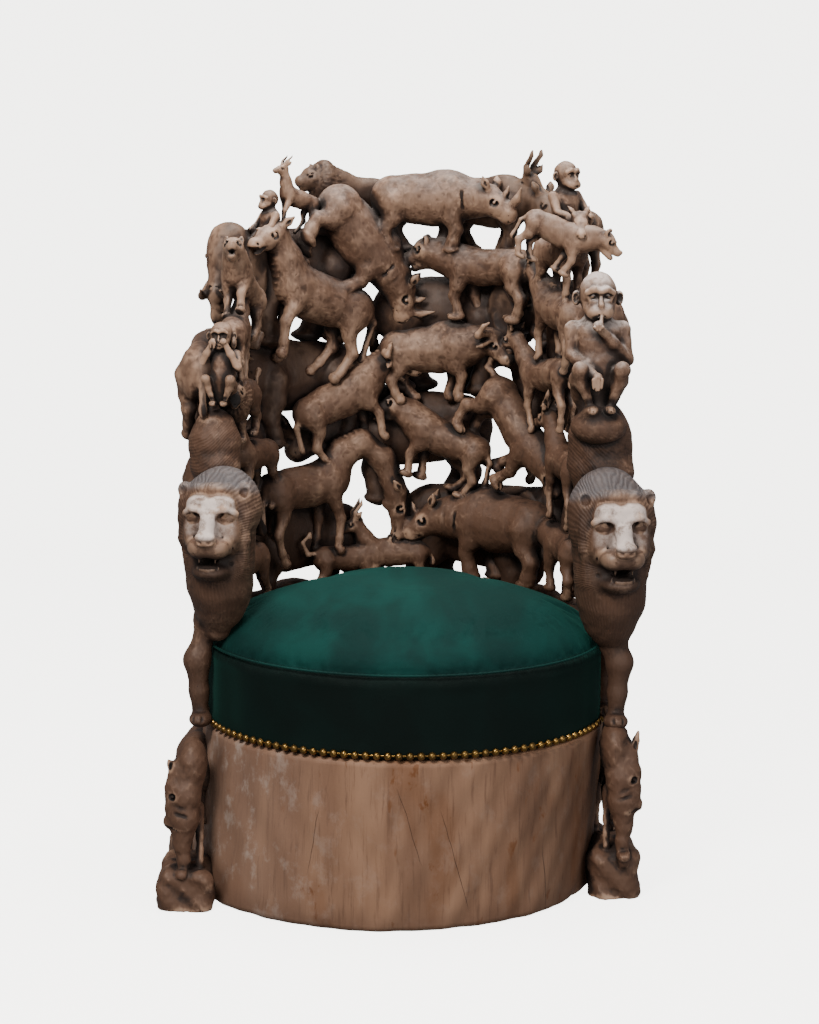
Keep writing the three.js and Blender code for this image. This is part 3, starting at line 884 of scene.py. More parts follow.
class Ape(Carving):
    """A sitting ape, with a place for each elbow and hand."""

    def __init__(self, stance: Stance, arms: Arms, bald: bool = False) -> None:
        """Carves an ape.

        Args:
            stance: Where it sits.
            arms: An elbow and a hand for each side, in its own units.
            bald: Whether its head is a bare dome with goggle brows.
        """
        super().__init__(stance)
        self.limb(
            [(-0.02, 0, -0.04, 0.34), (0.1, 0, 0.42, 0.33), (0.02, 0, 0.86, 0.33), (0.02, 0, 1.16, 0.2)],
            0.12, 1.06
        )
        self.ball((0.02, 0, 0.98), (0.26, 0.42, 0.2), 0.1)
        self.head(bald)
        for hand, (elbow, wrist) in zip((-1, 1), arms):
            self.arm(hand, elbow, wrist)
            if bald and hand > 0:
                self.limb(
                    [(wrist[0] + 0.06, wrist[1] + 0.04, wrist[2], 0.034), (0.48, 0.0, 1.24, 0.026)], 0.02
                )
                self.ball((0.3, 0, -0.5), (0.42, 0.44, 0.28), 0.2)
            self.leg(hand)

    def head(self, bald: bool) -> None:
        """Carves the head: dome, brows like goggles, wide muzzle and cupped ears.

        Args:
            bald: Whether the head is a bare dome.
        """
        self.ball((0.04, 0, 1.56), (0.31, 0.3, 0.36 if bald else 0.32), 0.08)
        self.ball((0.22, 0, 1.34), (0.22, 0.24, 0.17), 0.08)
        self.ball((0.34, 0, 1.29), (0.15, 0.2, 0.12), 0.06)
        self.limb(
            [(0.3, -0.2, 1.6, 0.05), (0.36, -0.1, 1.66, 0.055), (0.37, 0, 1.62, 0.05),
            (0.36, 0.1, 1.66, 0.055), (0.3, 0.2, 1.6, 0.05)], 0.03
        )
        for hand in (-1, 1):
            self.socket((0.37, hand * 0.115, 1.545), (0.08, 0.062, 0.045), 0.02)
            self.ball((0.315, hand * 0.115, 1.545), (0.04, 0.045, 0.034), 0.004)
            self.limb(
                [(0.29, hand * 0.2, 1.55, 0.03), (0.31, hand * 0.15, 1.47, 0.03),
                (0.35, hand * 0.06, 1.46, 0.03)], 0.02
            )
            self.ball((0.02, hand * 0.34, 1.5), (0.055, 0.07, 0.12), 0.02)
            self.socket((0.06, hand * 0.36, 1.5), (0.03, 0.045, 0.075), 0.01)
            self.socket((0.47, hand * 0.03, 1.4), (0.02, 0.018, 0.016), 0.006)
        self.limb([(0.36, 0, 1.56, 0.03), (0.44, 0, 1.42, 0.045)], 0.03)
        self.groove([(0.36, -0.15, 1.28, 0.016), (0.48, 0, 1.25, 0.018), (0.36, 0.15, 1.28, 0.016)], 0.012)

    def arm(self, hand: int, elbow: Point, wrist: Point) -> None:
        """Carves one arm, ending in a loosely closed hand with four fingers.

        Args:
            hand: Which side it is on.
            elbow: Place of the elbow.
            wrist: Place of the hand.
        """
        near = tuple(lerp(a, b, 0.5) for a, b in zip(elbow, wrist))
        self.limb([(0.02, hand * 0.38, 1.0, 0.15), (*elbow, 0.1), (*near, 0.095), (*wrist, 0.062)], 0.05)
        u, v, w = wrist
        self.ball((u + 0.03, v, w), (0.09, 0.085, 0.085), 0.03)
        droop = 0.2 if hand < 0 else 0.07
        for finger in (-1.5, -0.5, 0.5, 1.5):
            knuckle = (u + 0.1, v + finger * 0.048, w + 0.02 - 0.02 * abs(finger))
            tip = (u + 0.1, v + finger * 0.042, w - droop + 0.03 * abs(finger))
            self.limb([(*knuckle, 0.025), (*tip, 0.019)], 0.002)

    def leg(self, hand: int) -> None:
        """Carves one bent leg with a calf and a long toed foot.

        Args:
            hand: Which side it is on.
        """
        self.limb(
            [(0.0, hand * 0.2, 0.02, 0.21), (0.3, hand * 0.3, 0.24, 0.16), (0.55, hand * 0.33, 0.42, 0.12)],
            0.06
        )
        self.limb(
            [(0.55, hand * 0.33, 0.42, 0.12), (0.46, hand * 0.27, 0.16, 0.1),
            (0.43, hand * 0.17, -0.12, 0.06)], 0.05
        )
        self.ball((0.52, hand * 0.14, -0.22), (0.2, 0.095, 0.075), 0.04)
        for toe in (-1, 0, 1):
            near, far = hand * 0.14 + toe * 0.045, hand * 0.14 + toe * 0.055
            self.groove([(0.6, near, -0.15, 0.012), (0.74, far, -0.25, 0.016)], 0.01)


class Lion(Carving):
    """A maned lion at the end of an arm, in tenths of a metre, with its body bent round the trunk."""

    def __init__(self, stance: Upright, hand: int, tall: float, arm: float) -> None:
        """Carves a lion.

        Args:
            stance: The middle of its head.
            hand: Which side of the throne it is on.
            tall: Height of the hair above the middle of its head.
            arm: Radius of the arm that its body lies along, in metres.
        """
        super().__init__(stance)
        self.hand, self.tall, self.arm = hand, tall, arm
        self.body()
        self.mane()
        self.face()
        self.eyes()
        self.mouth()
        self.ears()

    def bent(self, angle: float, out: float, height: float, girth: float) -> Station:
        """Gives a station at an angle and a height round the trunk, out from the arm's middle.

        Args:
            angle: Angle round the trunk, in degrees from the middle of the back.
            out: How far out from the arm's middle.
            height: Its height.
            girth: Its radius, in metres.

        Returns:
            The station, in its own units.
        """
        turn = math.radians(angle * self.hand)
        x, y = (self.arm + out) * math.sin(turn), (self.arm + out) * math.cos(turn)
        u, v, w = self.stance.to_own(np.float64(x), np.float64(y), np.float64(height))
        return (float(u), float(v), float(w), girth / self.stance.size)

    def body(self) -> None:
        """Carves the body along the arm, with its haunches and four legs."""
        for height, girth in ((0.612, 0.04), (0.566, 0.044)):
            self.limb([self.bent(a, 0.0, height, girth) for a in (70, 82, 95, 106)], 0.2)
        self.ball(self.bent(73, 0.002, 0.575, 0)[:3], (0.46, 0.5, 0.74), 0.2)
        self.limb([self.bent(109, 0.002, 0.58, 0.042), self.bent(110, 0.012, 0.48, 0.026)], 0.2)
        self.leg((74, 0.0, False), 0.019)
        self.leg((85, 0.01, False), 0.018)
        self.leg((96, 0.006, True), 0.016)
        self.leg((107, 0.034, True), 0.018)

    def leg(self, place: tuple[float, float, bool], girth: float) -> None:
        """Carves one leg, slim above a swollen wrist, ending in a knuckled paw.

        Args:
            place: Its angle, how far out it stands, and whether it is a front leg.
            girth: Its radius at the wrist.
        """
        angle, out, front = place
        bow = 0.0 if front else 6.0
        self.limb(
            [self.bent(angle, out * 0.4, 0.52, girth * 1.5),
            self.bent(angle + bow, out * 0.6, 0.435, girth * (0.86 if front else 1.3)),
            self.bent(angle, out, 0.388, girth * 1.14),
            self.bent(angle - bow * 0.4, out - 0.003, 0.335, girth * 0.8),
            self.bent(angle, out - 0.005, 0.3, girth * 0.76)], 0.12
        )
        paw = self.bent(angle + 2, out - 0.002, 0.291, 0.0)
        self.ball(paw[:3], (0.23, 0.19, 0.13), 0.06)
        for toe in (-0.07, 0.07):
            top, end = (paw[0] + 0.14, paw[1] + toe, paw[2] + 0.1), (
                paw[0] + 0.25, paw[1] + toe, paw[2] - 0.06
            )
            self.groove([(*top, 0.014), (*end, 0.018)], 0.02)

    def mane(self) -> None:
        """Carves the mane: a dome of hair, then one smooth fall that narrows down the chest."""
        inner = -self.hand
        self.ball((-0.12, inner * 0.1, 0.14), (0.46, 0.62, self.tall - 0.06), 0.1)
        self.ball((-0.02, -inner * 0.12, 0.16), (0.42, 0.5, 0.46), 0.1)
        fall = ((-0.2, -0.02, 0.1, 0.55), (-0.18, 0.0, -0.35, 0.57), (-0.12, 0.02, -0.8, 0.54),
                (-0.2, 0.0, -1.15, 0.52),
                (-0.3, -0.02, -1.45, 0.44), (-0.35, -0.08, -1.9, 0.22))
        self.limb([(u, inner * v, w, r) for u, v, w, r in fall], 0.1)
        hairline = (
            (0.14, -0.43, 0.36), (0.28, -0.24, 0.48), (0.31, 0.0, 0.48), (0.28, 0.24, 0.48),
            (0.14, 0.43, 0.36)
        )
        self.limb([(*p, 0.075) for p in hairline], 0.08)
        for side in (-1, 1):
            edge = (
                (0.12, 0.46, 0.3, 0.08), (0.14, 0.5, 0.0, 0.085), (0.16, 0.5, -0.35, 0.08),
                (0.12, 0.45, -0.75, 0.04)
            )
            self.limb([(u, side * v, w, r) for u, v, w, r in edge], 0.1)

        def wave(u: Array, v: Array, w: Array) -> Array:
            """Gives how far the combing moves the skin at each place."""
            lock = np.sin(np.arctan2(v, w + 0.3) * 9 + 1.8 * np.sin(w * 3 + v * 2))
            fine = np.sin(np.arctan2(v, w + 0.5) * 31 + 2.6 * np.sin(w * 4 - v * 3) + u * 5)
            return np.clip((0.3 - u) * 7, 0, 1) * (
                0.008 * lock + 0.003 * fine
            ) * np.clip(1.0 - w * 1.5, 0.12, 1)

        self.comb((-0.05, 0, -0.35), 1.5, wave)

    def face(self) -> None:
        """Carves the two-lobed forehead, the bridge, the cheeks, the muzzle and the nose."""
        self.ball((0.1, 0, -0.02), (0.42, 0.46, 0.5), 0.08)
        self.limb([(0.42, 0, 0.22, 0.11), (0.57, 0, 0.0, 0.095), (0.69, 0, -0.2, 0.12)], 0.1, 1.15)
        self.ball((0.4, 0, -0.43), (0.36, 0.35, 0.2), 0.1)
        for hand in (-1, 1):
            self.ball((0.34, hand * 0.19, 0.22), (0.2, 0.21, 0.18), 0.06)
            brow = ((0.53, 0.1, 0.15), (0.53, 0.26, 0.18), (0.38, 0.41, 0.1))
            self.limb([(u, hand * v, w, 0.055) for u, v, w in brow], 0.05)
            self.ball((0.28, hand * 0.29, -0.24), (0.24, 0.18, 0.3), 0.1)
            self.ball((0.56, hand * 0.14, -0.44), (0.18, 0.18, 0.14), 0.1)
            for row in range(3):
                near = (0.76, hand * (0.12 + row * 0.02), -0.41 - row * 0.045, 0.007)
                self.groove([near, (0.6, hand * 0.3, -0.39 - row * 0.055, 0.006)], 0.012)
            fold = ((0.62, 0.13, -0.14), (0.5, 0.23, -0.28), (0.44, 0.35, -0.42), (0.36, 0.4, -0.58))
            self.groove([(u, hand * v, w, 0.013) for u, v, w in fold], 0.03)
        self.ball((0.77, 0, -0.23), (0.1, 0.17, 0.075), 0.04)
        self.ball((0.75, 0, -0.32), (0.09, 0.15, 0.08), 0.03)
        for hand in (-1, 1):
            self.socket((0.84, hand * 0.085, -0.31), (0.05, 0.05, 0.028), 0.012)
        self.groove([(0.84, 0, -0.38, 0.012), (0.78, 0, -0.56, 0.012)], 0.012)
        self.groove([(0.5, 0, 0.42, 0.012), (0.58, 0, 0.24, 0.014), (0.64, 0, 0.1, 0.006)], 0.03)

    def eyes(self) -> None:
        """Carves the lidded eyes in their sockets."""
        for hand in (-1, 1):
            self.socket((0.55, hand * 0.27, 0.045), (0.13, 0.135, 0.095), 0.04)
            self.ball((0.38, hand * 0.265, 0.025), (0.12, 0.135, 0.09), 0.01)
            corners = (0.45, 0.155, 0.02), (0.36, 0.385, 0.03)
            for mid, girth in (((0.5, 0.27, 0.1), 0.024), ((0.47, 0.27, -0.045), 0.02)):
                lid = [corners[0], mid, corners[1]]
                self.limb([(u, hand * v, w, girth) for u, v, w in lid], 0.02)

    def mouth(self) -> None:
        """Carves the open mouth, its down-turned corners, the teeth and the broad chin."""
        self.ball((0.36, 0, -0.84), (0.33, 0.3, 0.15), 0.07)
        self.socket((0.6, 0, -0.645), (0.42, 0.14, 0.065), 0.03)
        for hand in (-1, 1):
            corner = ((0.74, 0.08, -0.63, 0.04), (0.56, 0.22, -0.67, 0.036), (0.34, 0.33, -0.71, 0.026))
            self.groove([(u, hand * v, w, r) for u, v, w, r in corner], 0.02)
            self.limb([(0.62, hand * 0.13, -0.6, 0.022), (0.63, hand * 0.13, -0.665, 0.01)], 0.01)
            self.limb([(0.58, hand * 0.17, -0.76, 0.022), (0.59, hand * 0.17, -0.7, 0.01)], 0.01)
        self.limb([(0.64, -0.12, -0.76, 0.02), (0.67, 0, -0.77, 0.02), (0.64, 0.12, -0.76, 0.02)], 0.02)
        for strand in np.linspace(-0.22, 0.22, 7):
            self.groove([(0.64, float(strand), -0.9, 0.006), (0.44, float(strand) * 0.8, -1.0, 0.01)], 0.014)

    def ears(self) -> None:
        """Carves two cupped ears."""
        for hand in (-1, 1):
            self.ball((0.06, hand * 0.5, 0.43), (0.12, 0.115, 0.13), 0.05)
            self.socket((0.2, hand * 0.51, 0.425), (0.09, 0.075, 0.085), 0.03)

    def own(self, points: Array) -> Axes:
        """Turns world places into the lion's own."""
        return self.stance.to_own(points[:, 0], points[:, 1], points[:, 2])

    def pale(self, points: Array) -> Array:
        """Gives how pale each point is: the face is, unevenly; the mane and the lips are dark, and the open
        mouth and the eye sockets are dark with painted shade.

        Args:
            points: Places in the world.

        Returns:
            From 1, pale, through 0 to -1, dark; painted shade counts as dark.
        """
        u, v, w = self.own(points)
        front = smooth(u, 0.27, 0.38)
        lobes = 0.41 - 0.04 * smooth(0.12 - np.abs(v), 0.0, 0.12) - 0.5 * np.clip(np.abs(v) - 0.26, 0, 1)
        mask = front * smooth(lobes - w, 0.0, 0.04) * smooth(0.46 - np.abs(v), 0.0, 0.1)
        skin = 0.34 * smooth(w, -0.36, -0.16) + 0.34 * smooth(w, 0.02, 0.16)
        bridge = 0.7 * smooth(0.17 - np.abs(v), 0.0, 0.07) * smooth(w, -0.28, -0.22)
        eye = smooth(((np.abs(v) - 0.265) / 0.14) ** 2 + ((w - 0.04) / 0.095) ** 2, 0.75, 1.25)
        # painted shade inside the open mouth
        gape = smooth(0.3 - np.abs(v), 0.0, 0.06) * smooth(0.07 - np.abs(w + 0.655), 0.0, 0.03)
        gape = gape * smooth(0.62 - u, 0.0, 0.08)
        bare = mask * np.minimum(skin + bridge, 1.0) * eye - 0.3 * (1 - front) * smooth(0.5 - w, 0.0, 0.2)
        lips = 0.42 * smooth(-0.3 - w, 0.0, 0.08) + 0.2 * smooth(-0.56 - w, 0.0, 0.05)
        muzzle = front * smooth(w, -1.05, -0.95) * lips
        # painted shade: the open mouth and the eye sockets are darkened
        return bare - gape - muzzle - 0.28 * (1 - eye) * front

    def shade_lifted(self, points: Array) -> Array:
        """Gives how much of the painted shade in the creases and hollows is lifted: all over the face and
        ears.

        Args:
            points: Places in the world.

        Returns:
            A share for each point.
        """
        u, v, w = self.own(points)
        ear = smooth(0.18 - np.hypot(np.abs(v) - 0.5, w - 0.43), 0.0, 0.05)
        face = smooth(u, 0.2, 0.34) * smooth(0.62 - np.abs(v), 0.0, 0.08) * smooth(w, -0.58, -0.5)
        return np.maximum(face, ear)

    def grey(self, points: Array) -> Array:
        """Gives how weathered each point is: the hair on top of the head has gone grey."""
        u, v, w = self.own(points)
        return smooth(w + 0.25 * np.abs(v), 0.5, 0.62) * (1 - smooth(u, 0.5, 0.6))

    def strands(self, points: Array) -> tuple[Array, Array]:
        """Gives the phase of the fine combing at each point, and how deep it is cut.

        Args:
            points: Places in the world.

        Returns:
            The phase and the depth for each point.
        """
        u, v, w = self.own(points)
        low = smooth(-0.3 - w, 0.0, 0.7)
        phase = np.arctan2(v, w + 0.35) * 84 * (1 - low) + (v * 140 + 7 * np.sin(w * 5)) * low
        phase = phase + 9 * np.sin(w * 3 + v * 4 + u * 2) + u * 14
        phase += smooth(w, 0.4, 0.55) * (2.4 * np.sin(v * 9 + u * 13 + w * 6) + 1.1 * np.sin(v * 23 - u * 17))
        face = smooth(u, 0.26, 0.4) * smooth(0.46 - w, 0.0, 0.1) * smooth(w, -1.05, -0.9)
        return phase, (1 - face) * smooth(w, -2.1, -1.6) * (0.4 + 0.5 * smooth(w, 0.45, 0.6))


def smooth(value: Array, start: float, end: float) -> Array:
    """Gives a soft step from 0 to 1."""
    share = np.clip((value - start) / (end - start), 0.0, 1.0)
    return share * share * (3.0 - 2.0 * share)


class Lump(Carving):
    """A crouching furry rump, combed with deep curved grooves, that others sit on."""

    def __init__(self, stance: Stance, sweep: float) -> None:
        """Carves the lump, with its combing slanted by sweep.

        Args:
            stance: Where it is.
            sweep: How far its combing slants.
        """
        super().__init__(stance)
        self.sweep = sweep
        self.limb(
            [(0, 0, -0.85, 0.36), (0, 0, -0.2, 0.46), (0.02, 0, 0.24, 0.46), (0, 0, 0.5, 0.3)], 0.2, 1.0
        )
        self.ball((0.26, 0.1, -0.3), (0.34, 0.4, 0.32), 0.1)

        def wave(u: Array, v: Array, w: Array) -> Array:
            """Gives how far the combing moves the skin at each place."""
            return 0.009 * np.sin((w + sweep * v + 0.3 * u) * 12 + 1.6 * np.sin(v * 5 + u * 3))

        self.comb((0, 0, -0.1), 1.1, wave)

    def strands(self, points: Array) -> tuple[Array, Array]:
        """Gives the phase of the fine combing at each point, and how deep it is cut.

        Args:
            points: Places in the world.

        Returns:
            The phase and the depth for each point.
        """
        u, v, w = self.stance.to_own(points[:, 0], points[:, 1], points[:, 2])
        near = 1 - smooth(np.sqrt(u * u + v * v + (w + 0.1) ** 2), 0.85, 1.0)
        phase = (w + self.sweep * v + 0.3 * u) * 95 + 5 * np.sin(v * 5 + u * 3)
        return phase, 0.35 * near * smooth(0.62 - w, 0.0, 0.1)


class Browser(Carving):
    """A beast at the front end of the skirt, in tenths of a metre: rump up, head hanging outwards."""

    def __init__(self, stance: Upright, hand: int, ear: float) -> None:
        """Carves the beast.

        Args:
            stance: The place on the floor under the middle of its body.
            hand: Which side of the throne it is on.
            ear: Length of its ears.
        """
        super().__init__(stance)
        self.hand = hand
        self.ball(self.out(-0.2, -0.12, 2.42), (0.42, 0.25, 0.42), 0.1)
        self.chain(
            ((-0.1, -0.04, 2.3, 0.26), (0.04, -0.01, 1.95, 0.25), (0.08, 0.0, 1.55, 0.23),
            (0.1, 0.0, 1.3, 0.16)), 0.1
        )
        self.chain(
            ((0.1, 0.02, 1.5, 0.18), (0.12, 0.03, 1.15, 0.14), (0.15, 0.0, 0.9, 0.105),
            (0.18, 0.02, 0.55, 0.1)), 0.06
        )
        self.chain(((-0.1, -0.2, 1.7, 0.12), (-0.06, -0.25, 1.2, 0.055), (-0.02, -0.24, 0.55, 0.06)), 0.05)
        self.chain(((-0.4, 0.1, 1.9, 0.18), (-0.42, 0.08, 1.2, 0.1), (-0.4, 0.08, 0.55, 0.08)), 0.05)
        self.ball(self.out(0.26, 0.03, 0.68), (0.15, 0.11, 0.09), 0.04)
        self.head(ear)

    def out(self, forward: float, side: float, up: float) -> Point:
        """Gives a place whose second number runs outwards."""
        return (forward, self.hand * side, up)

    def chain(self, stations: Sequence[Station], blend: float) -> None:
        """Adds a limb whose second number runs outwards."""
        self.limb([(*self.out(u, v, w), r) for u, v, w, r in stations], blend)

    def head(self, ear: float) -> None:
        """Carves the hanging head, seen from its side: ear, brow, eye, muzzle and a slack mouth.

        Args:
            ear: Length of its ears.
        """
        self.chain(
            ((-0.02, 0.1, 2.35, 0.15), (0.06, 0.15, 2.05, 0.14), (0.1, 0.17, 1.75, 0.12),
            (0.12, 0.2, 1.5, 0.095)), 0.06
        )
        self.chain(
            ((-0.02, 0.16, 2.36, 0.08), (-0.04, 0.22, 2.36 + ear * 0.6, 0.055),
            (-0.05, 0.25, 2.36 + ear, 0.018)), 0.03
        )
        self.socket(self.out(0.04, 0.2, 2.36 + ear * 0.4), (0.05, 0.03, 0.07), 0.02)
        self.ball(self.out(0.06, 0.25, 2.06), (0.1, 0.06, 0.07), 0.03)
        self.ball(self.out(0.1, 0.26, 1.52), (0.1, 0.07, 0.1), 0.03)
        self.socket(self.out(0.22, 0.16, 1.95), (0.06, 0.06, 0.05), 0.02)
        self.ball(self.out(0.18, 0.16, 1.95), (0.05, 0.045, 0.035), 0.006)
        self.groove([(*self.out(0.26, 0.08, 1.42), 0.014), (*self.out(0.16, 0.3, 1.46), 0.016)], 0.01)
        for fold in (2.2, 1.82, 1.7, 1.24, 1.12):
            self.groove(
                [(*self.out(0.34, -0.16, fold - 0.08), 0.014), (*self.out(0.28, 0.14, fold), 0.012)], 0.04
            )


@dataclass(frozen=True)
class Stone:
    """A low rough stone on the floor, cut from the same wood, between two corners."""

    low: Point
    high: Point
    soft: float = 0.02

    def __call__(self, block: Block) -> None:
        """Adds the stone to a block.

        Args:
            block: The block to add it to.
        """
        grid = block.places(tuple(slice(0, n) for n in block.cells.shape))
        x, y, z = grid
        over = 0.0
        for place, low, high in zip(grid, self.low, self.high):
            over = over + np.maximum(np.abs(place - (low + high) / 2) - (high - low) / 2 + self.soft, 0) ** 2
        lumps = 0.004 * np.sin(x * 61 + z * 34) * np.sin(y * 47 + z * 52 + 1)
        lumps = lumps + 0.0016 * np.sin(x * 119 - y * 97 + z * 140)
        shape = np.maximum(np.sqrt(over) - self.soft + lumps, 0.0005 - z)
        block.cells = blend_min(block.cells, shape.astype(np.float32), 0.006)


# ---- Meshes ----


def new_piece(name: str, points: Array, faces: Array) -> Piece:
    """Makes a smooth mesh piece.

    Args:
        name: Name of the piece.
        points: Its points.
        faces: Its faces, each with the same count of corners.

    Returns:
        The new object, linked to the scene.
    """
    mesh = bpy.data.meshes.new(name)
    sides = faces.shape[1]
    mesh.vertices.add(len(points))
    mesh.vertices.foreach_set("co", np.ascontiguousarray(points, np.float32).ravel())
    mesh.loops.add(faces.size)
    mesh.loops.foreach_set("vertex_index", np.ascontiguousarray(faces, np.int32).ravel())
    mesh.polygons.add(len(faces))
    mesh.polygons.foreach_set("loop_start", np.arange(0, faces.size, sides, dtype=np.int32))
    mesh.polygons.foreach_set("use_smooth", np.ones(len(faces), bool))
    mesh.update(calc_edges=True)
    mesh.validate()
    piece = bpy.data.objects.new(name, mesh)
    bpy.context.scene.collection.objects.link(piece)
    return piece


def baked(piece: Piece) -> None:
    """Applies a piece's modifiers.

    Args:
        piece: The piece to bake.
    """
    graph = bpy.context.evaluated_depsgraph_get()
    mesh = bpy.data.meshes.new_from_object(piece.evaluated_get(graph))
    old = piece.data
    piece.modifiers.clear()
    piece.data = mesh
    bpy.data.meshes.remove(old)


def thinned(piece: Piece, triangles: int) -> None:
    """Brings a piece down to a count of triangles where its surface is flattest.

    Args:
        piece: The piece to thin.
        triangles: The most triangles that it may keep.
    """
    count = sum(len(p.vertices) - 2 for p in piece.data.polygons)
    if count > triangles:
        modifier = piece.modifiers.new("thin", "DECIMATE")
        modifier.ratio = triangles / count
        baked(piece)


def points_of(piece: Piece) -> tuple[Array, Array]:
    """Gives a mesh's points and the directions they face.

    Args:
        piece: The piece.

    Returns:
        The points, and the way each faces.
    """
    count = len(piece.data.vertices)
    points, normals = np.empty(count * 3, np.float32), np.empty(count * 3, np.float32)
    piece.data.vertices.foreach_get("co", points)
    piece.data.vertex_normals.foreach_get("vector", normals)
    return points.reshape(-1, 3), normals.reshape(-1, 3)


def move_points(piece: Piece, points: Array) -> None:
    """Moves a piece's points."""
    piece.data.vertices.foreach_set("co", np.ascontiguousarray(points, np.float32).ravel())
    piece.data.update()


def lofted(name: str, rows: Sequence[Array]) -> Piece:
    """Makes a closed piece from rings of points that follow one another.

    Args:
        name: Name of the piece.
        rows: The rings, each with the same count of points.

    Returns:
        The piece, with its ends filled.
    """
    n = len(rows[0])
    near = np.arange(n)
    far = (near + 1) % n
    faces = [np.stack([near, near + n, far + n, far], 1) + row * n for row in range(len(rows) - 1)]
    piece = new_piece(name, np.concatenate(rows), np.concatenate(faces))
    closed(piece)
    return piece


def write(piece: Piece, name: str, values: Array) -> None:
    """Stores one number for each point of a piece, for its finish to read."""
    layer = piece.data.attributes.get(name) or piece.data.attributes.new(name, "FLOAT", "POINT")
    layer.data.foreach_set("value", np.ascontiguousarray(values, np.float32))


def hewn(piece: Piece, strength: float) -> None:
    """Leaves the small dents of the adze all over a piece.

    Args:
        piece: The piece to dent.
        strength: How deep the dents are, as a share.
    """
    points, normals = points_of(piece)
    dice = np.random.default_rng(7)
    depth = np.zeros(len(points), np.float32)
    for length, size in ((0.034, 0.00045), (0.021, 0.0004), (0.013, 0.0003), (0.009, 0.00022)):
        for _ in range(4):
            way = dice.normal(size=3)
            way *= 2 * math.pi / length / np.linalg.norm(way)
            depth += size * np.sin(points @ way.astype(np.float32) + dice.uniform(0, 6.28)).astype(np.float32)
    move_points(piece, points + normals * (strength * depth)[:, None])


class Hollows:
    """A coarse map of the wood, which tells how deep in the carving a place lies."""

    CELL = 0.006
    LOW = np.array([-0.47, -0.47, -0.03])
    COUNT = (157, 157, 210)

    def __init__(self) -> None:
        """Starts with no wood."""
        self.grid = np.zeros(self.COUNT, np.float32)

    def add(self, points: Array) -> None:
        """Marks places as wood.

        Args:
            points: Places inside the wood.
        """
        index = np.floor((points - self.LOW) / self.CELL).astype(int)
        index = index[((index >= 0) & (index < self.COUNT)).all(axis=1)]
        self.grid[tuple(index.T)] = 1.0

    def spread(self, reach: int) -> None:
        """Averages the map over cubes of cells.

        Args:
            reach: How many cells each way.
        """
        for axis in range(3):
            margin = [(reach + 1, reach) if i == axis else (0, 0) for i in range(3)]
            total = np.cumsum(np.pad(self.grid, margin, mode="edge"), axis=axis)
            count = self.grid.shape[axis]
            high = np.take(total, range(2 * reach + 1, 2 * reach + 1 + count), axis=axis)
            low = np.take(total, range(count), axis=axis)
            self.grid = ((high - low) / (2 * reach + 1)).astype(np.float32)

    def depth(self, points: Array, normals: Array) -> Array:
        """Gives how much wood stands round each point, in front of its surface.

        Args:
            points: Places in the world.
            normals: The way each point faces.

        Returns:
            A share for each point.
        """
        found = np.zeros(len(points), np.float32)
        for ahead in (0.012, 0.03):
            index = np.floor((points + normals * ahead - self.LOW) / self.CELL).astype(int)
            index = np.clip(index, 0, np.array(self.COUNT) - 1)
            found += 0.5 * self.grid[tuple(index.T)]
        return found


# ---- Sub-assemblies ----

Row = tuple[Build, float, float, float, int, float]

INNER_HERD: tuple[Row, ...] = (
    (RHINO, 6, 1.126, 0.118, RIGHT, 0),
    (RHINO, -17, 1.066, 0.122, RIGHT, -52),
    (HORSE, -31, 0.956, 0.140, LEFT, 22),
    (LIONESS, 31, 1.012, 0.124, LEFT, 0),
    (BUFFALO, 8, 0.864, 0.116, RIGHT, 4),
    (GNU, -26, 0.776, 0.120, RIGHT, 24),
    (HYENA, 16, 0.704, 0.112, LEFT, 20),
    (LIONESS, 42, 0.745, 0.128, RIGHT, -50),
    (GRAZER, -40, 0.630, 0.130, RIGHT, 6),
    (RHINO, 38, 0.566, 0.134, LEFT, 0),
    (ANTELOPE, -66, 0.700, 0.100, LEFT, 4),
    (HORSE, 68, 0.946, 0.104, LEFT, 8),
    (ANTELOPE, 60, 0.836, 0.104, LEFT, -6),
    (HORSE, 66, 1.046, 0.098, RIGHT, 5),
    (ANTELOPE, 76, 0.690, 0.106, LEFT, 4),
    (LIONESS, 76, 0.548, 0.106, LEFT, 0),
    (ANTELOPE, -74, 0.522, 0.108, LEFT, 0),
    (HYENA, -72, 0.985, 0.096, LEFT, 34),
    (ANTELOPE, -88, 0.920, 0.094, RIGHT, 0),
    (MANED, -80, 0.806, 0.098, LEFT, 0),
    (ANTELOPE, -3, 0.502, 0.088, LEFT, 0),
    (LIONESS, -22, 0.496, 0.086, RIGHT, 0),
    (ANTELOPE, -40, 1.126, 0.06, LEFT, 20),
)
OUTER_HERD: tuple[Row, ...] = (
    (MANED, -13, 1.134, 0.100, LEFT, 6),
    (RHINO, 24, 1.120, 0.112, RIGHT, 0),
    (ANTELOPE, 56, 1.084, 0.118, LEFT, 0),
    (ELEPHANT, -36, 1.010, 0.156, LEFT, 0),
    (ELEPHANT, 12, 0.922, 0.160, RIGHT, 0),
    (BUFFALO, 66, 0.930, 0.150, LEFT, 0),
    (RHINO, -34, 0.820, 0.156, LEFT, 0),
    (ANTELOPE, 54, 0.772, 0.144, LEFT, 0),
    (BUFFALO, -86, 0.856, 0.140, RIGHT, 0),
    (HORSE, -70, 0.672, 0.154, RIGHT, 0),
    (RHINO, 4, 0.722, 0.170, LEFT, 0),
    (HORSE, 76, 0.590, 0.150, RIGHT, 0),
    (ELEPHANT, 22, 0.552, 0.172, RIGHT, 0),
    (BUFFALO, -34, 0.534, 0.168, LEFT, 0),
)
SKIRT_HERD: tuple[Row, ...] = (
    (HOUND, -84, 0.203, 0.150, LEFT, 0),
    (ELEPHANT, -20, 0.178, 0.172, LEFT, 0),
    (RHINO, 24, 0.176, 0.172, RIGHT, 0),
    (HOUND, 70, 0.203, 0.150, RIGHT, 0),
    (BUFFALO, -42, 0.382, 0.160, RIGHT, 0),
    (RHINO, 4, 0.380, 0.164, RIGHT, 0),
    (BUFFALO, 47, 0.382, 0.150, LEFT, 0),
)


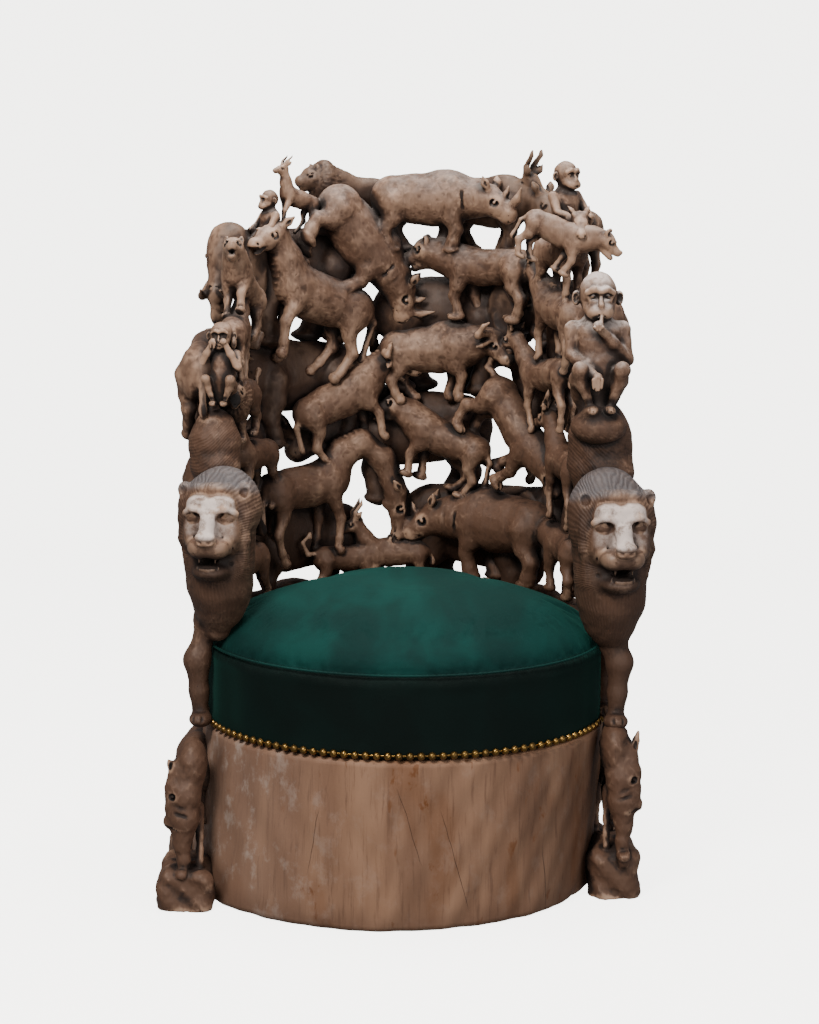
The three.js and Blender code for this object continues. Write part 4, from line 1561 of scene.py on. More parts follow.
def lean(height: Array) -> Array:
    """Gives how far to -X the trunk stands at a height."""
    return -0.024 * (1 - np.minimum(height / 0.275, 1))


def seat_radius(angle: Array) -> Array:
    """Gives the radius of the seat's plan at an angle in degrees from the middle of the back."""
    return 0.243 + 0.089 * smooth(np.abs(angle), 74, 98)


@dataclass
class Sculpture:
    """A piece of the carving: creatures in one block, brought down to a count of triangles."""

    name: str
    block: Block
    triangles: int
    creatures: list[Carving] = field(default_factory=list)
    masses: list[Callable[[Block], None]] = field(default_factory=list)
    painted: Optional[Lion] = None
    dents: float = 0.26
    shaded: float = 0.0
    top_highlight: float = 0.2
    piece: Optional[Piece] = None

    def build(self, hollows: Hollows) -> Piece:
        """Carves the block and takes its skin as a mesh.

        Args:
            hollows: The map that learns where the wood is.

        Returns:
            The mesh object.
        """
        for mass in self.masses:
            mass(self.block)
        for creature in self.creatures:
            creature.cut_into(self.block)
        points, faces = self.block.skin()
        if self.block.rolled:
            points = rolled_to_world(points)
        corner = [points[faces[:, i]] for i in range(3)]
        if (np.cross(corner[0], corner[1]) * corner[2]).sum() < 0:
            faces = faces[:, ::-1]
        hollows.add(self.block.wood())
        self.piece = new_piece(self.name, points, faces)
        hewn(self.piece, self.dents)
        thinned(self.piece, self.triangles)
        LOG.info("%s: %d faces", self.name, len(self.piece.data.polygons))
        return self.piece

    def store_shading(self, hollows: Hollows) -> None:
        """Stores the depth and the creases of each point, for painted shade; its ridges, for wear and painted
        highlight; and its paint, which also holds painted shade and highlight.

        Args:
            hollows: The map of the wood.
        """
        points, normals = points_of(self.piece)
        # the creases carry painted shade; the ridges carry wear and painted highlight
        crease, ridge = np.ones(len(points), np.float32), np.zeros(len(points), np.float32)
        for reach in (0.004, 0.009, 0.016):
            crease -= np.clip(self.block.sample(points + normals * reach) / reach, 0, 1) / 3
        for reach in (0.005, 0.01):
            ridge += np.clip(1 + self.block.sample(points - normals * reach) / reach, 0, 1) / 2
        # the depth in the carving, for the painted shade in the hollows
        shade_depth = hollows.depth(points, normals)
        # the painted shade is lifted off the lion's face and ears
        if self.painted:
            shade_kept = 1 - 0.6 * self.painted.shade_lifted(points)
            crease, shade_depth = crease * shade_kept, shade_depth * shade_kept
        write(self.piece, "hollow", shade_depth)
        write(self.piece, "crease", crease)
        write(self.piece, "ridge", ridge)
        none = np.zeros(len(points), np.float32)
        pale = self.painted.pale(points) if self.painted else none.copy()
        if self.shaded:
            outward = (points[:, :2] * normals[:, :2]).sum(axis=1) / np.hypot(points[:, 0], points[:, 1])
            pale -= self.shaded * smooth(-outward, -0.5, 0.3)
        # painted highlight: upward-facing surfaces high up are made paler
        pale += self.top_highlight * smooth(
            normals[:, 2], 0.1, 0.95
        ) * smooth(points[:, 2], 0.78, 1.08) * (pale >= 0)
        write(self.piece, "pale", pale)
        write(self.piece, "grey", self.painted.grey(points) if self.painted else none)
        phase, depth = none.copy(), none.copy()
        for creature in self.creatures:
            if isinstance(creature, (Lion, Lump)):
                phase, depth = creature.strands(points)
        write(self.piece, "strand", phase)
        write(self.piece, "furry", depth)


@dataclass
class Carver:
    """Everything that is carved with animals: the horseshoe, the lions, the apes and the skirt.

    The inner, outer and skirt animals have their middles at those radii. The back is carved as two
    blocks, with an animal in the upper one where it stands above half_way.
    """

    inner: float = 0.286
    outer: float = 0.340
    skirt: float = 0.372
    half_way: float = 0.83
    hollows: Hollows = field(default_factory=Hollows)
    pieces: list[Sculpture] = field(default_factory=list)

    @staticmethod
    def herd(rows: Iterable[Row], layer: float, breadth: float, plain: bool) -> list[Carving]:
        """Carves the animals of one layer.

        Args:
            rows: A row for each animal.
            layer: Radius that the animals' middles stand on.
            breadth: How far each is flattened across.
            plain: Whether they are roughed out only.

        Returns:
            The animals.
        """
        beasts = []
        for kind, angle, height, size, heading, tilt in rows:
            deep = layer - (0.024 if kind is HOUND else 0.0)
            beasts.append(Beast(kind, OnTrunk(size, angle, height, heading, tilt, deep), breadth, plain))
        return beasts

    @staticmethod
    def rolled_block(angle: float, low: tuple[float, float], high: tuple[float, float], step: float) -> Block:
        """Makes a block round the trunk, angle degrees either side, between (radius, height) corners."""
        half = math.radians(angle) * ROLL_RADIUS
        return Block((-half, *low), (half, *high), step)

    @staticmethod
    def rim(block: Block) -> None:
        """Adds the solid rim that the back stands on, with a hand-cut uneven top.

        Args:
            block: The block to add it to.
        """
        x, y, z = block.places(tuple(slice(0, n) for n in block.cells.shape))
        angle = np.degrees(x / ROLL_RADIUS)
        wobble = 0.004 * np.sin(angle * 0.21) + 0.003 * np.sin(angle * 0.53 + 1)
        inner, outer = seat_radius(angle) + 0.003 - y, y - (0.343 + 0.3 * wobble)
        ends = (np.abs(angle) - 92.0) * math.radians(1.0) * 0.3
        shape = np.maximum(np.maximum(inner, outer), np.maximum(z - 0.428 - wobble, 0.268 - z))
        block.cells = blend_min(block.cells, np.maximum(shape, ends).astype(np.float32), 0.003)

    @staticmethod
    def ledge(block: Block) -> None:
        """Adds the stone-like blocks on the floor that the lowest animals stand on.

        Args:
            block: The block to add it to.
        """
        x, y, z = block.places(tuple(slice(0, n) for n in block.cells.shape))
        turn = x / ROLL_RADIUS
        wx, wy = y * np.sin(turn) - lean(z), y * np.cos(turn)
        angle, radius = np.degrees(np.arctan2(wx, wy)), np.sqrt(wx * wx + wy * wy)
        bearing = np.radians(angle)
        lumps = 0.008 * np.cos(bearing * 6) + 0.006 * np.sin(bearing * 17) + 0.004 * np.sin(
            bearing * 31 + z * 30
        )
        top = 0.052 + 0.006 * np.sin(bearing * 13 + 1)
        out = radius - (0.392 - 0.012 * smooth(np.abs(angle), 60, 90) + lumps)
        side = np.maximum(np.abs(angle + 3) - 103, 0) * math.radians(1) * 0.38
        edge = 0.02
        dx, dz = np.maximum(out + edge, 0), np.maximum(z - top + edge, 0)
        shape = np.sqrt(dx * dx + dz * dz + side * side) - edge
        shape = np.maximum(np.maximum(shape, 0.318 - radius), 0.001 - z)
        block.cells = blend_min(block.cells, shape.astype(np.float32), 0.004)

    def carve(self) -> None:
        """Carves every block."""
        upper = self.herd([row for row in INNER_HERD if row[2] >= self.half_way], self.inner, 0.9, False)
        lower = self.herd([row for row in INNER_HERD if row[2] < self.half_way], self.inner, 0.9, False)
        high = self.rolled_block(104, (0.205, 0.69), (0.372, 1.215), 0.0024)
        low = self.rolled_block(104, (0.205, 0.42), (0.372, 0.98), 0.0024)
        far = self.rolled_block(106, (0.27, 0.42), (0.418, 1.21), 0.003)
        skirt = self.rolled_block(128, (0.238, -0.004), (0.452, 0.51), 0.0036)
        left = Lion(Upright(0.1, -0.304, -0.150, 0.634, -10), LEFT, 0.72, 0.322)
        right = Lion(Upright(0.106, 0.338, -0.140, 0.620, 9), RIGHT, 0.8, 0.334)
        left_lump = Lump(Upright(0.084, -0.312, -0.057, 0.73, -10), -0.8)
        right_lump = Lump(Upright(0.104, 0.318, -0.05, 0.73, 10), 0.7)
        crossed = (((0.12, -0.42, 0.62), (0.62, -0.08, 0.3)), ((0.16, 0.46, 0.54), (0.5, -0.06, 1.1)))
        monkey = Ape(Upright(0.103, 0.310, -0.062, 0.826, 4), crossed, bald=True)
        covering = level_arms((0.4, 0.5, 0.72), (0.46, 0.14, 1.4))
        hider = Ape(Upright(0.062, -0.300, -0.052, 0.822, -8), covering)
        resting = level_arms((0.3, 0.5, 0.6), (0.62, 0.3, 0.5))
        left_ape = Ape(Upright(0.048, -0.232, 0.190, 1.052, -55), resting)
        right_ape = Ape(Upright(0.066, 0.262, 0.084, 1.072, 40), resting)
        lookout = Beast(HYENA, Upright(0.082, 0.247, 0.020, 1.086, 78, -22), 0.8)
        left_browser = Browser(Upright(0.1, -0.356, -0.2, -0.008), LEFT, 0.14)
        right_browser = Browser(Upright(0.1, 0.357, -0.14, 0.008), RIGHT, 0.34)
        left_stone = Stone((-0.397, -0.238, -0.02), (-0.311, -0.09, 0.066), 0.016)
        right_stone = Stone((0.306, -0.16, -0.02), (0.386, -0.03, 0.086), 0.026)
        far_side, near_floor = self.herd(
            OUTER_HERD, self.outer, 0.62, True
        ), self.herd(SKIRT_HERD, self.skirt, 0.75, True)

        def free(low: Point, high: Point, step: float) -> Block:
            """Makes a block that isn't unrolled."""
            return Block(low, high, step, False)

        left_arm, right_arm = (
            (-0.44, -0.27, 0.24), (-0.2, 0.18, 0.76)
        ), ((0.22, -0.27, 0.24), (0.445, 0.18, 0.76))
        right_seat = free((0.22, -0.17, 0.6), (0.42, 0.03, 1.05), 0.0018)
        left_seat = free((-0.4, -0.14, 0.6), (-0.23, 0.03, 0.96), 0.0018)
        left_top = free((-0.31, 0.1, 1.0), (-0.16, 0.28, 1.17), 0.0014)
        right_top = free((0.19, 0.0, 1.0), (0.35, 0.17, 1.215), 0.0016)
        tip = free((0.15, -0.06, 0.99), (0.38, 0.1, 1.17), 0.0014)
        left_foot = free((-0.42, -0.26, -0.002), (-0.29, -0.05, 0.31), 0.0016)
        right_foot = free((0.285, -0.2, -0.002), (0.415, 0.0, 0.32), 0.0016)
        self.pieces = [
            Sculpture("herd_upper", high, 145000, upper),
            Sculpture("herd_lower", low, 145000, lower),
            Sculpture("herd_outer", far, 110000, far_side, shaded=0.55),
            Sculpture("skirt", skirt, 92000, near_floor, [self.rim, self.ledge]),
            Sculpture("lion_left", free(*left_arm, 0.002), 74000, [left], painted=left, dents=0.14),
            Sculpture("lion_right", free(*right_arm, 0.002), 74000, [right], painted=right, dents=0.14),
            Sculpture("monkey", right_seat, 50000, [right_lump, monkey], top_highlight=1.3),
            Sculpture("hiding_monkey", left_seat, 29000, [left_lump, hider]),
            Sculpture("ape_left", left_top, 14000, [left_ape]),
            Sculpture("lookout", tip, 17000, [lookout]),
            Sculpture("browser_left", left_foot, 20000, [left_browser], [left_stone], dents=0.42),
            Sculpture("browser_right", right_foot, 20000, [right_browser], [right_stone], dents=0.42),
            Sculpture("ape_right", right_top, 14000, [right_ape]),
        ]
        for sculpture in self.pieces:
            sculpture.build(self.hollows)
        self.hollows.spread(3)
        self.hollows.spread(2)
        for sculpture in self.pieces:
            sculpture.store_shading(self.hollows)


@dataclass
class Drum:
    """The plain round trunk under the seat, leaning a little, with its hewn and cracked surface."""

    radius: float = 0.335
    height: float = 0.2745
    swell: float = 0.005
    around: int = 360
    levels: int = 56
    piece: Optional[Piece] = None

    def wear(self, turn: Array, z: Array) -> Array:
        """Gives how far the surface stands in from a true round.

        Args:
            turn: Angle round the trunk, in radians.
            z: Height on the trunk.

        Returns:
            The depth, in metres.
        """
        hewn = 0.0012 * np.sin(turn * 23 + 3 * np.sin(z * 21)) + 0.0009 * np.sin(turn * 41 + z * 60)
        hollow = 0.0016 * np.sin(turn * 5 + 1) + 0.0008 * np.sin(z * 34 + turn * 7)
        chips = 0.004 * np.clip(
            np.sin(turn * 9 + 1.7) * np.sin(turn * 4) - 0.5, 0, 1
        ) * smooth(0.02 - z, 0.0, 0.016)
        return hewn + hollow + 2 * chips + 0.002

    def build(self, hollows: Hollows) -> Piece:
        """Builds the drum as a closed mesh with softened edges.

        Args:
            hollows: The map of the wood.

        Returns:
            The piece.
        """
        turn = np.linspace(0, 2 * math.pi, self.around, endpoint=False)
        z = np.linspace(0, self.height, self.levels)
        grid, heights = np.meshgrid(turn, z)
        edge = np.minimum(heights, self.height - heights)
        soft = 0.006 * (1 - np.sqrt(np.clip(1 - (1 - np.clip(edge / 0.006, 0, 1)) ** 2, 0, 1)))
        radius = self.radius + self.swell * (1 - heights / self.height) - self.wear(grid, heights) - soft
        ring = np.stack([radius * np.sin(grid) + lean(heights), radius * np.cos(grid), heights], -1)
        caps = []
        for row in (0, -1):
            for share in (0.97, 0.6, 0.2):
                caps.append(ring[row] * [share, share, 1] + [lean(ring[row, 0, 2]) * (1 - share), 0, 0])
        self.piece = lofted("drum", [*caps[2::-1], *ring, *caps[3:]])
        flat, tall = np.arange(-0.36, 0.36, Hollows.CELL), np.arange(0, 0.27, Hollows.CELL)
        marks = np.stack(np.meshgrid(flat, flat, tall), -1).reshape(-1, 3)
        inside = np.hypot(marks[:, 0] - lean(marks[:, 2]), marks[:, 1]) < self.radius
        hollows.add(marks[inside])
        return self.piece

    def store_shading(self, hollows: Hollows) -> None:
        """Stores the depth of each point, for the painted shade."""
        points, normals = points_of(self.piece)
        write(self.piece, "hollow", hollows.depth(points, normals))


def closed(piece: Piece) -> None:
    """Fills the open rings of a mesh and turns its faces outwards.

    Args:
        piece: The piece to close.
    """
    work = bmesh.new()
    work.from_mesh(piece.data)
    bmesh.ops.holes_fill(work, edges=[e for e in work.edges if e.is_boundary], sides=0)
    bmesh.ops.recalc_face_normals(work, faces=work.faces)
    for face in work.faces:
        face.smooth = True
    work.to_mesh(piece.data)
    work.free()


@dataclass
class Cushion:
    """The domed seat cushion: a velvet top stitched to a tight side band."""

    bottom: float = 0.2765
    seam: float = 0.408
    crown: float = 0.506
    around: int = 180
    cells: float = 0.006
    pressure: float = 4.0
    most_swell: float = 0.007
    triangles: int = 95000
    piece: Optional[Piece] = None

    def plan(self, angle: Array) -> Array:
        """Gives the radius of the plan at angles in radians from the middle of the back."""
        turned = np.degrees(np.abs((angle + math.pi) % (2 * math.pi) - math.pi))
        return seat_radius(turned) - 0.0015

    def build(self) -> Piece:
        """Cuts the cushion to size and lets it swell as cloth.

        Returns:
            The piece.
        """
        angle = np.linspace(0, 2 * math.pi, self.around, endpoint=False)
        plan = self.plan(angle)
        rise = self.crown - self.seam
        levels = [(0.3, self.bottom), (0.7, self.bottom), (0.985, self.bottom), (1.0, self.bottom + 0.004)]
        levels += [(1.0, lerp(self.bottom, self.seam, t)) for t in (0.2, 0.4, 0.6, 0.8, 0.95)]
        levels += [(0.992, self.seam + 0.004)]
        for t in np.linspace(0.1, 1.5, 16):
            dome = (1 - math.cos(t) ** 2.7) ** 0.5
            levels.append((math.cos(t) * 0.99, self.seam + 0.004 + (rise - 0.004) * dome))
        x, y = plan * np.sin(angle), plan * np.cos(angle)
        rows = [np.stack([share * x, share * y, np.full_like(angle, z)], -1) for share, z in levels]
        self.piece = lofted("velvet_cushion", rows)
        remesh = self.piece.modifiers.new("even", "REMESH")
        remesh.mode = "VOXEL"
        remesh.voxel_size = self.cells
        baked(self.piece)
        self.swell()
        self.gather()
        smoother = self.piece.modifiers.new("fine", "SUBSURF")
        smoother.levels = smoother.render_levels = 1
        baked(self.piece)
        thinned(self.piece, self.triangles)
        return self.piece

    def swell(self) -> None:
        """Blows the cushion up a little as cloth, and holds it within its box."""
        start, _ = points_of(self.piece)
        start = start.copy()
        pins = self.piece.vertex_groups.new(name="held")
        held = np.where((start[:, 2] < self.seam - 0.01) | (start[:, 2] < self.bottom + 0.01))[0]
        pins.add([int(i) for i in held], 1.0, "REPLACE")
        cloth = self.piece.modifiers.new("cloth", "CLOTH")
        settings = cloth.settings
        settings.use_pressure = True
        settings.uniform_pressure_force = self.pressure
        settings.vertex_group_mass = "held"
        settings.tension_stiffness = 12
        settings.compression_stiffness = 8
        settings.bending_stiffness = 0.4
        settings.quality = 4
        settings.effector_weights.gravity = 0.0
        cloth.collision_settings.use_collision = False
        scene = bpy.context.scene
        for frame_number in range(1, 21):
            scene.frame_set(frame_number)
        baked(self.piece)
        scene.frame_set(1)
        moved, _ = points_of(self.piece)
        change = moved - start
        far = np.linalg.norm(change, axis=1)
        LOG.info("velvet_cushion: the cloth moved up to %.1f mm", float(far.max()) * 1000)
        change *= np.minimum(1.0, self.most_swell / np.maximum(far, 1e-9))[:, None]
        settled = start + change
        settled[:, 2] = np.minimum(settled[:, 2], self.crown + 0.004)
        move_points(self.piece, settled)

    def gather(self) -> None:
        """Draws the seam in, and puckers the velvet beside it."""
        points, _ = points_of(self.piece)
        points = points.copy()
        angle = np.arctan2(points[:, 0], points[:, 1])
        radius = np.hypot(points[:, 0], points[:, 1])
        edge = self.plan(angle)
        near = np.exp(
            -(((points[:, 2] - self.seam - 0.003) / 0.0045) ** 2)
        ) * smooth(radius / edge, 0.9, 0.97)
        pucker = 0.5 + 0.5 * np.sin(angle * 61 + 2 * np.sin(angle * 7)) * np.sin(angle * 17 + 1)
        above = np.exp(
            -(((points[:, 2] - self.seam - 0.012) / 0.014) ** 2)
        ) * smooth(radius / edge, 0.8, 0.95)
        sag = 0.0012 * np.sin(angle * 9 + 1) + 0.0008 * np.sin(angle * 23)
        band = smooth(self.seam - points[:, 2], 0.0, 0.03) * smooth(
            points[:, 2], self.bottom, self.bottom + 0.03
        )
        pull = 0.0032 * near + 0.0022 * above * pucker + band * (0.0012 + sag)
        scale = 1 - pull / np.maximum(radius, 0.05)
        points[:, 0] *= scale
        points[:, 1] *= scale
        top = smooth(points[:, 2], self.seam + 0.008, self.seam + 0.03)
        points[:, 2] += top * (0.0012 * np.sin(points[:, 0] * 31 + 1) * np.sin(points[:, 1] * 27) - 0.0008)
        move_points(self.piece, points)

    def welt(self) -> Piece:
        """Builds the thin twisted welt that covers the seam between the band and the top.

        Returns:
            The piece.
        """
        angle = np.radians(np.linspace(84, 276, 900))
        place = np.arange(len(angle))
        end = np.minimum(place, place[::-1]) / 6
        girth = 0.0021 * np.minimum(1.0, 0.2 + end) * (1 + 0.1 * np.sin(place * 0.9))
        turn = np.linspace(0, 2 * math.pi, 8, endpoint=False)
        reach = (self.plan(angle) - 0.0014)[:, None] + np.outer(girth, np.cos(turn))
        height = self.seam + 0.003 + np.outer(girth, np.sin(turn))
        x, y = reach * np.sin(angle)[:, None], reach * np.cos(angle)[:, None]
        return lofted("seam_welt", list(np.stack([x, y, height], -1)))


@dataclass
class Trim:
    """The row of brass beads: pressed strips with a real nail at each fourth bead."""

    beads: int = 60
    half_arc: float = 88.5
    height: float = 0.284
    radius: float = 0.0066
    seat: float = 0.3324
    every: int = 4
    proud: float = 0.0064
    nail_proud: float = 0.006

    def bead_angle(self, index: float) -> float:
        """Gives a bead's angle from the middle of the back, in radians."""
        return math.radians(180 + lerp(-self.half_arc, self.half_arc, index / (self.beads - 1)))

    def is_nail(self, index: int) -> bool:
        """Tells whether a bead is a real nail."""
        return index % self.every == 2

    def dome(self, work: Mesh, index: int, radius: float, proud: float, base: float) -> None:
        """Adds one domed bead with a small flat flange.

        Args:
            work: The mesh to add to.
            index: Which bead it is.
            radius: Its radius.
            proud: How far it stands out.
            base: Radius of the trunk where its flange lies.
        """
        angle = self.bead_angle(index)
        middle = Vector((math.sin(angle), math.cos(angle), 0)) * base + Vector((0, 0, self.height))
        out = Vector((math.sin(angle), math.cos(angle), 0))
        side = Vector((out.y, -out.x, 0))
        levels = [(0.0, 1.0)] + [
            (0.14 + 0.86 * math.sin(t), 0.93 * math.cos(t)) for t in np.linspace(0, 1.32, 6)
        ]
        rings = []
        for lift, share in levels:
            ring = []
            for k in range(20):
                turn = 2 * math.pi * k / 20
                spot = middle + out * (lift * proud) + side * (share * radius * math.cos(turn))
                ring.append(work.verts.new(spot + Vector((0, 0, share * radius * math.sin(turn)))))
            rings.append(ring)
        for low, high in zip(rings, rings[1:]):
            for k in range(20):
                work.faces.new((low[k], low[(k + 1) % 20], high[(k + 1) % 20], high[k]))
        work.faces.new(rings[0])
        work.faces.new(rings[-1])

    def finished(self, work: Mesh, name: str) -> Piece:
        """Turns a working mesh into a piece.

        Args:
            work: The mesh, which is freed.
            name: Name of the piece.

        Returns:
            The piece.
        """
        bmesh.ops.recalc_face_normals(work, faces=work.faces)
        mesh = bpy.data.meshes.new(name)
        work.to_mesh(mesh)
        work.free()
        mesh.polygons.foreach_set("use_smooth", np.ones(len(mesh.polygons), bool))
        piece = bpy.data.objects.new(name, mesh)
        bpy.context.scene.collection.objects.link(piece)
        return piece

    def strip(self) -> Piece:
        """Builds the pressed strips: their domes and the flat links between them.

        Returns:
            The piece.
        """
        work = bmesh.new()
        for index in range(self.beads):
            if not self.is_nail(index):
                self.dome(work, index, self.radius, self.proud, self.seat + 0.0006)
            if index < self.beads - 1:
                self.link(work, index)
        return self.finished(work, "brass_strip")

    def link(self, work: Mesh, index: int) -> None:
        """Adds the narrow flat link between two beads.

        Args:
            work: The mesh to add to.
            index: The bead that it starts from.
        """
        corners = []
        for step in (0.0, 0.25, 0.5, 0.75, 1.0):
            angle = self.bead_angle(index + step)
            half = 0.0014 + 0.0022 * (2 * step - 1) ** 2
            ring = []
            for lift, rise in (
                (0.0, -half), (0.0006, -half * 0.8), (0.0009, 0), (0.0006, half * 0.8), (0.0, half)
            ):
                reach = self.seat + lift
                ring.append(
                    work.verts.new((reach * math.sin(angle), reach * math.cos(angle), self.height + rise))
                )
            corners.append(ring)
        for a, b in zip(corners, corners[1:]):
            for k in range(5):
                work.faces.new((a[k], a[(k + 1) % 5], b[(k + 1) % 5], b[k]))
        work.faces.new(corners[0])
        work.faces.new(corners[-1])

    def nails(self) -> Piece:
        """Builds the heads of the real nails.

        Returns:
            The piece.
        """
        work = bmesh.new()
        for index in range(self.beads):
            if self.is_nail(index):
                self.dome(work, index, self.radius * 0.96, self.nail_proud, self.seat + 0.0012)
        return self.finished(work, "brass_nails")


# ---- Finishes ----

Value = Union[float, "Wire"]


class Wire:
    """A socket of a material's nodes, with the arithmetic of numbers."""

    def __init__(self, shader: "Shader", socket: bpy.types.NodeSocket) -> None:
        """Wraps a socket."""
        self.shader, self.socket = shader, socket

    def maths(self, operation: str, *values: Value) -> "Wire":
        """Makes a Math node of this wire and other values."""
        return self.shader.node(
            "ShaderNodeMath", {"operation": operation}, dict(enumerate((self, *values)))
        )[0]

    def __add__(self, other: Value) -> "Wire":
        """Adds."""
        return self.maths("ADD", other)

    __radd__ = __add__

    def __mul__(self, other: Value) -> "Wire":
        """Multiplies."""
        return self.maths("MULTIPLY", other)

    __rmul__ = __mul__

    def __sub__(self, other: Value) -> "Wire":
        """Subtracts."""
        return self.maths("SUBTRACT", other)

    def __rsub__(self, other: Value) -> "Wire":
        """Subtracts this from a number."""
        return (self * -1.0) + other

    def band(self, low: float, high: float) -> "Wire":
        """Gives a soft step from 0 at low to 1 at high."""
        made = self.shader.node(
            "ShaderNodeMapRange", {"interpolation_type": "SMOOTHSTEP"}, {0: self, 1: low, 2: high}
        )
        return made[0]

    def held(self) -> "Wire":
        """Holds the value between 0 and 1."""
        return self.shader.node("ShaderNodeClamp", {}, {0: self})[0]


class Shader:
    """A material in the making."""

    def __init__(self, name: str) -> None:
        """Starts an empty material.

        Args:
            name: Name of the material.
        """
        self.material = bpy.data.materials.new(name)
        self.material.use_nodes = True
        self.tree = self.material.node_tree
        self.tree.nodes.clear()

    def node(self, kind: str, settings: dict, values: dict) -> list[Wire]:
        """Makes a node.

        Args:
            kind: The node's type.
            settings: Its options, set first.
            values: Numbers, colours or wires for its sockets, by place or name.

        Returns:
            A wire from each of its outputs.
        """
        made = self.tree.nodes.new(kind)
        for key, value in settings.items():
            setattr(made, key, value)
        for key, value in values.items():
            if isinstance(value, Wire):
                self.tree.links.new(value.socket, made.inputs[key])
            else:
                made.inputs[key].default_value = value
        return [Wire(self, socket) for socket in made.outputs]

    def place(self) -> Wire:
        """Gives the place in the throne's own frame."""
        return self.node("ShaderNodeTexCoord", {}, {})[3]

    def stretched(self, place: Wire, by: Point) -> Wire:
        """Scales a place along each axis."""
        return self.node("ShaderNodeVectorMath", {"operation": "MULTIPLY"}, {0: place, 1: by})[0]

    def noise(
        self, place: Wire, scale: float, detail: float = 3.0, rough: float = 0.5, bend: float = 0.0
    ) -> Wire:
        """Gives smooth noise from 0 to 1."""
        values = {"Vector": place, "Scale": scale, "Detail": detail, "Roughness": rough, "Distortion": bend}
        return self.node("ShaderNodeTexNoise", {}, values)[0]

    def grain(self, place: Wire, upright: float, *shape: float) -> Wire:
        """Gives noise that is drawn out along the trunk: its scale, detail, roughness and bend."""
        return self.noise(self.stretched(place, (1.0, 1.0, upright)), *shape)

    def split(self, vector: Wire) -> list[Wire]:
        """Gives the three parts of a vector."""
        return self.node("ShaderNodeSeparateXYZ", {}, {0: vector})

    def attribute(self, name: str) -> Wire:
        """Gives a number stored on the mesh."""
        return self.node("ShaderNodeAttribute", {"attribute_name": name}, {})[2]

    def mix(self, share: Value, first: object, second: object) -> Wire:
        """Mixes two colours."""
        return self.node("ShaderNodeMix", {"data_type": "RGBA"}, {0: share, 6: first, 7: second})[2]

    def bump(self, height: Wire, distance: float, strength: float, under: Optional[Wire] = None) -> Wire:
        """Turns heights into a normal.

        Args:
            height: The heights.
            distance: How far the heights reach.
            strength: How strong they are.
            under: A normal to add it to.

        Returns:
            The normal.
        """
        values = {"Height": height, "Distance": distance, "Strength": strength}
        if under is not None:
            values["Normal"] = under
        return self.node("ShaderNodeBump", {}, values)[0]

    def wood(self, base: Wire, rough: Wire, normal: Wire, gloss: float) -> bpy.types.Material:
        """Ends the material as wood."""
        return self.finish(
            {"Base Color": base, "Roughness": rough, "Normal": normal, "Specular IOR Level": gloss}
        )

    def finish(self, values: dict) -> bpy.types.Material:
        """Ends the material with its surface.

        Args:
            values: What its sockets get.

        Returns:
            The material.
        """
        surface = self.node("ShaderNodeBsdfPrincipled", {}, values)[0]
        self.node("ShaderNodeOutputMaterial", {}, {0: surface})
        return self.material


Colour = tuple[float, float, float, float]


def colour(red: int, green: int, blue: int) -> Colour:
    """Gives a colour from its screen values."""
    linear = [((c / 255 + 0.055) / 1.055) ** 2.4 if c > 10 else c / 255 / 12.92 for c in (red, green, blue)]
    return (*linear, 1.0)


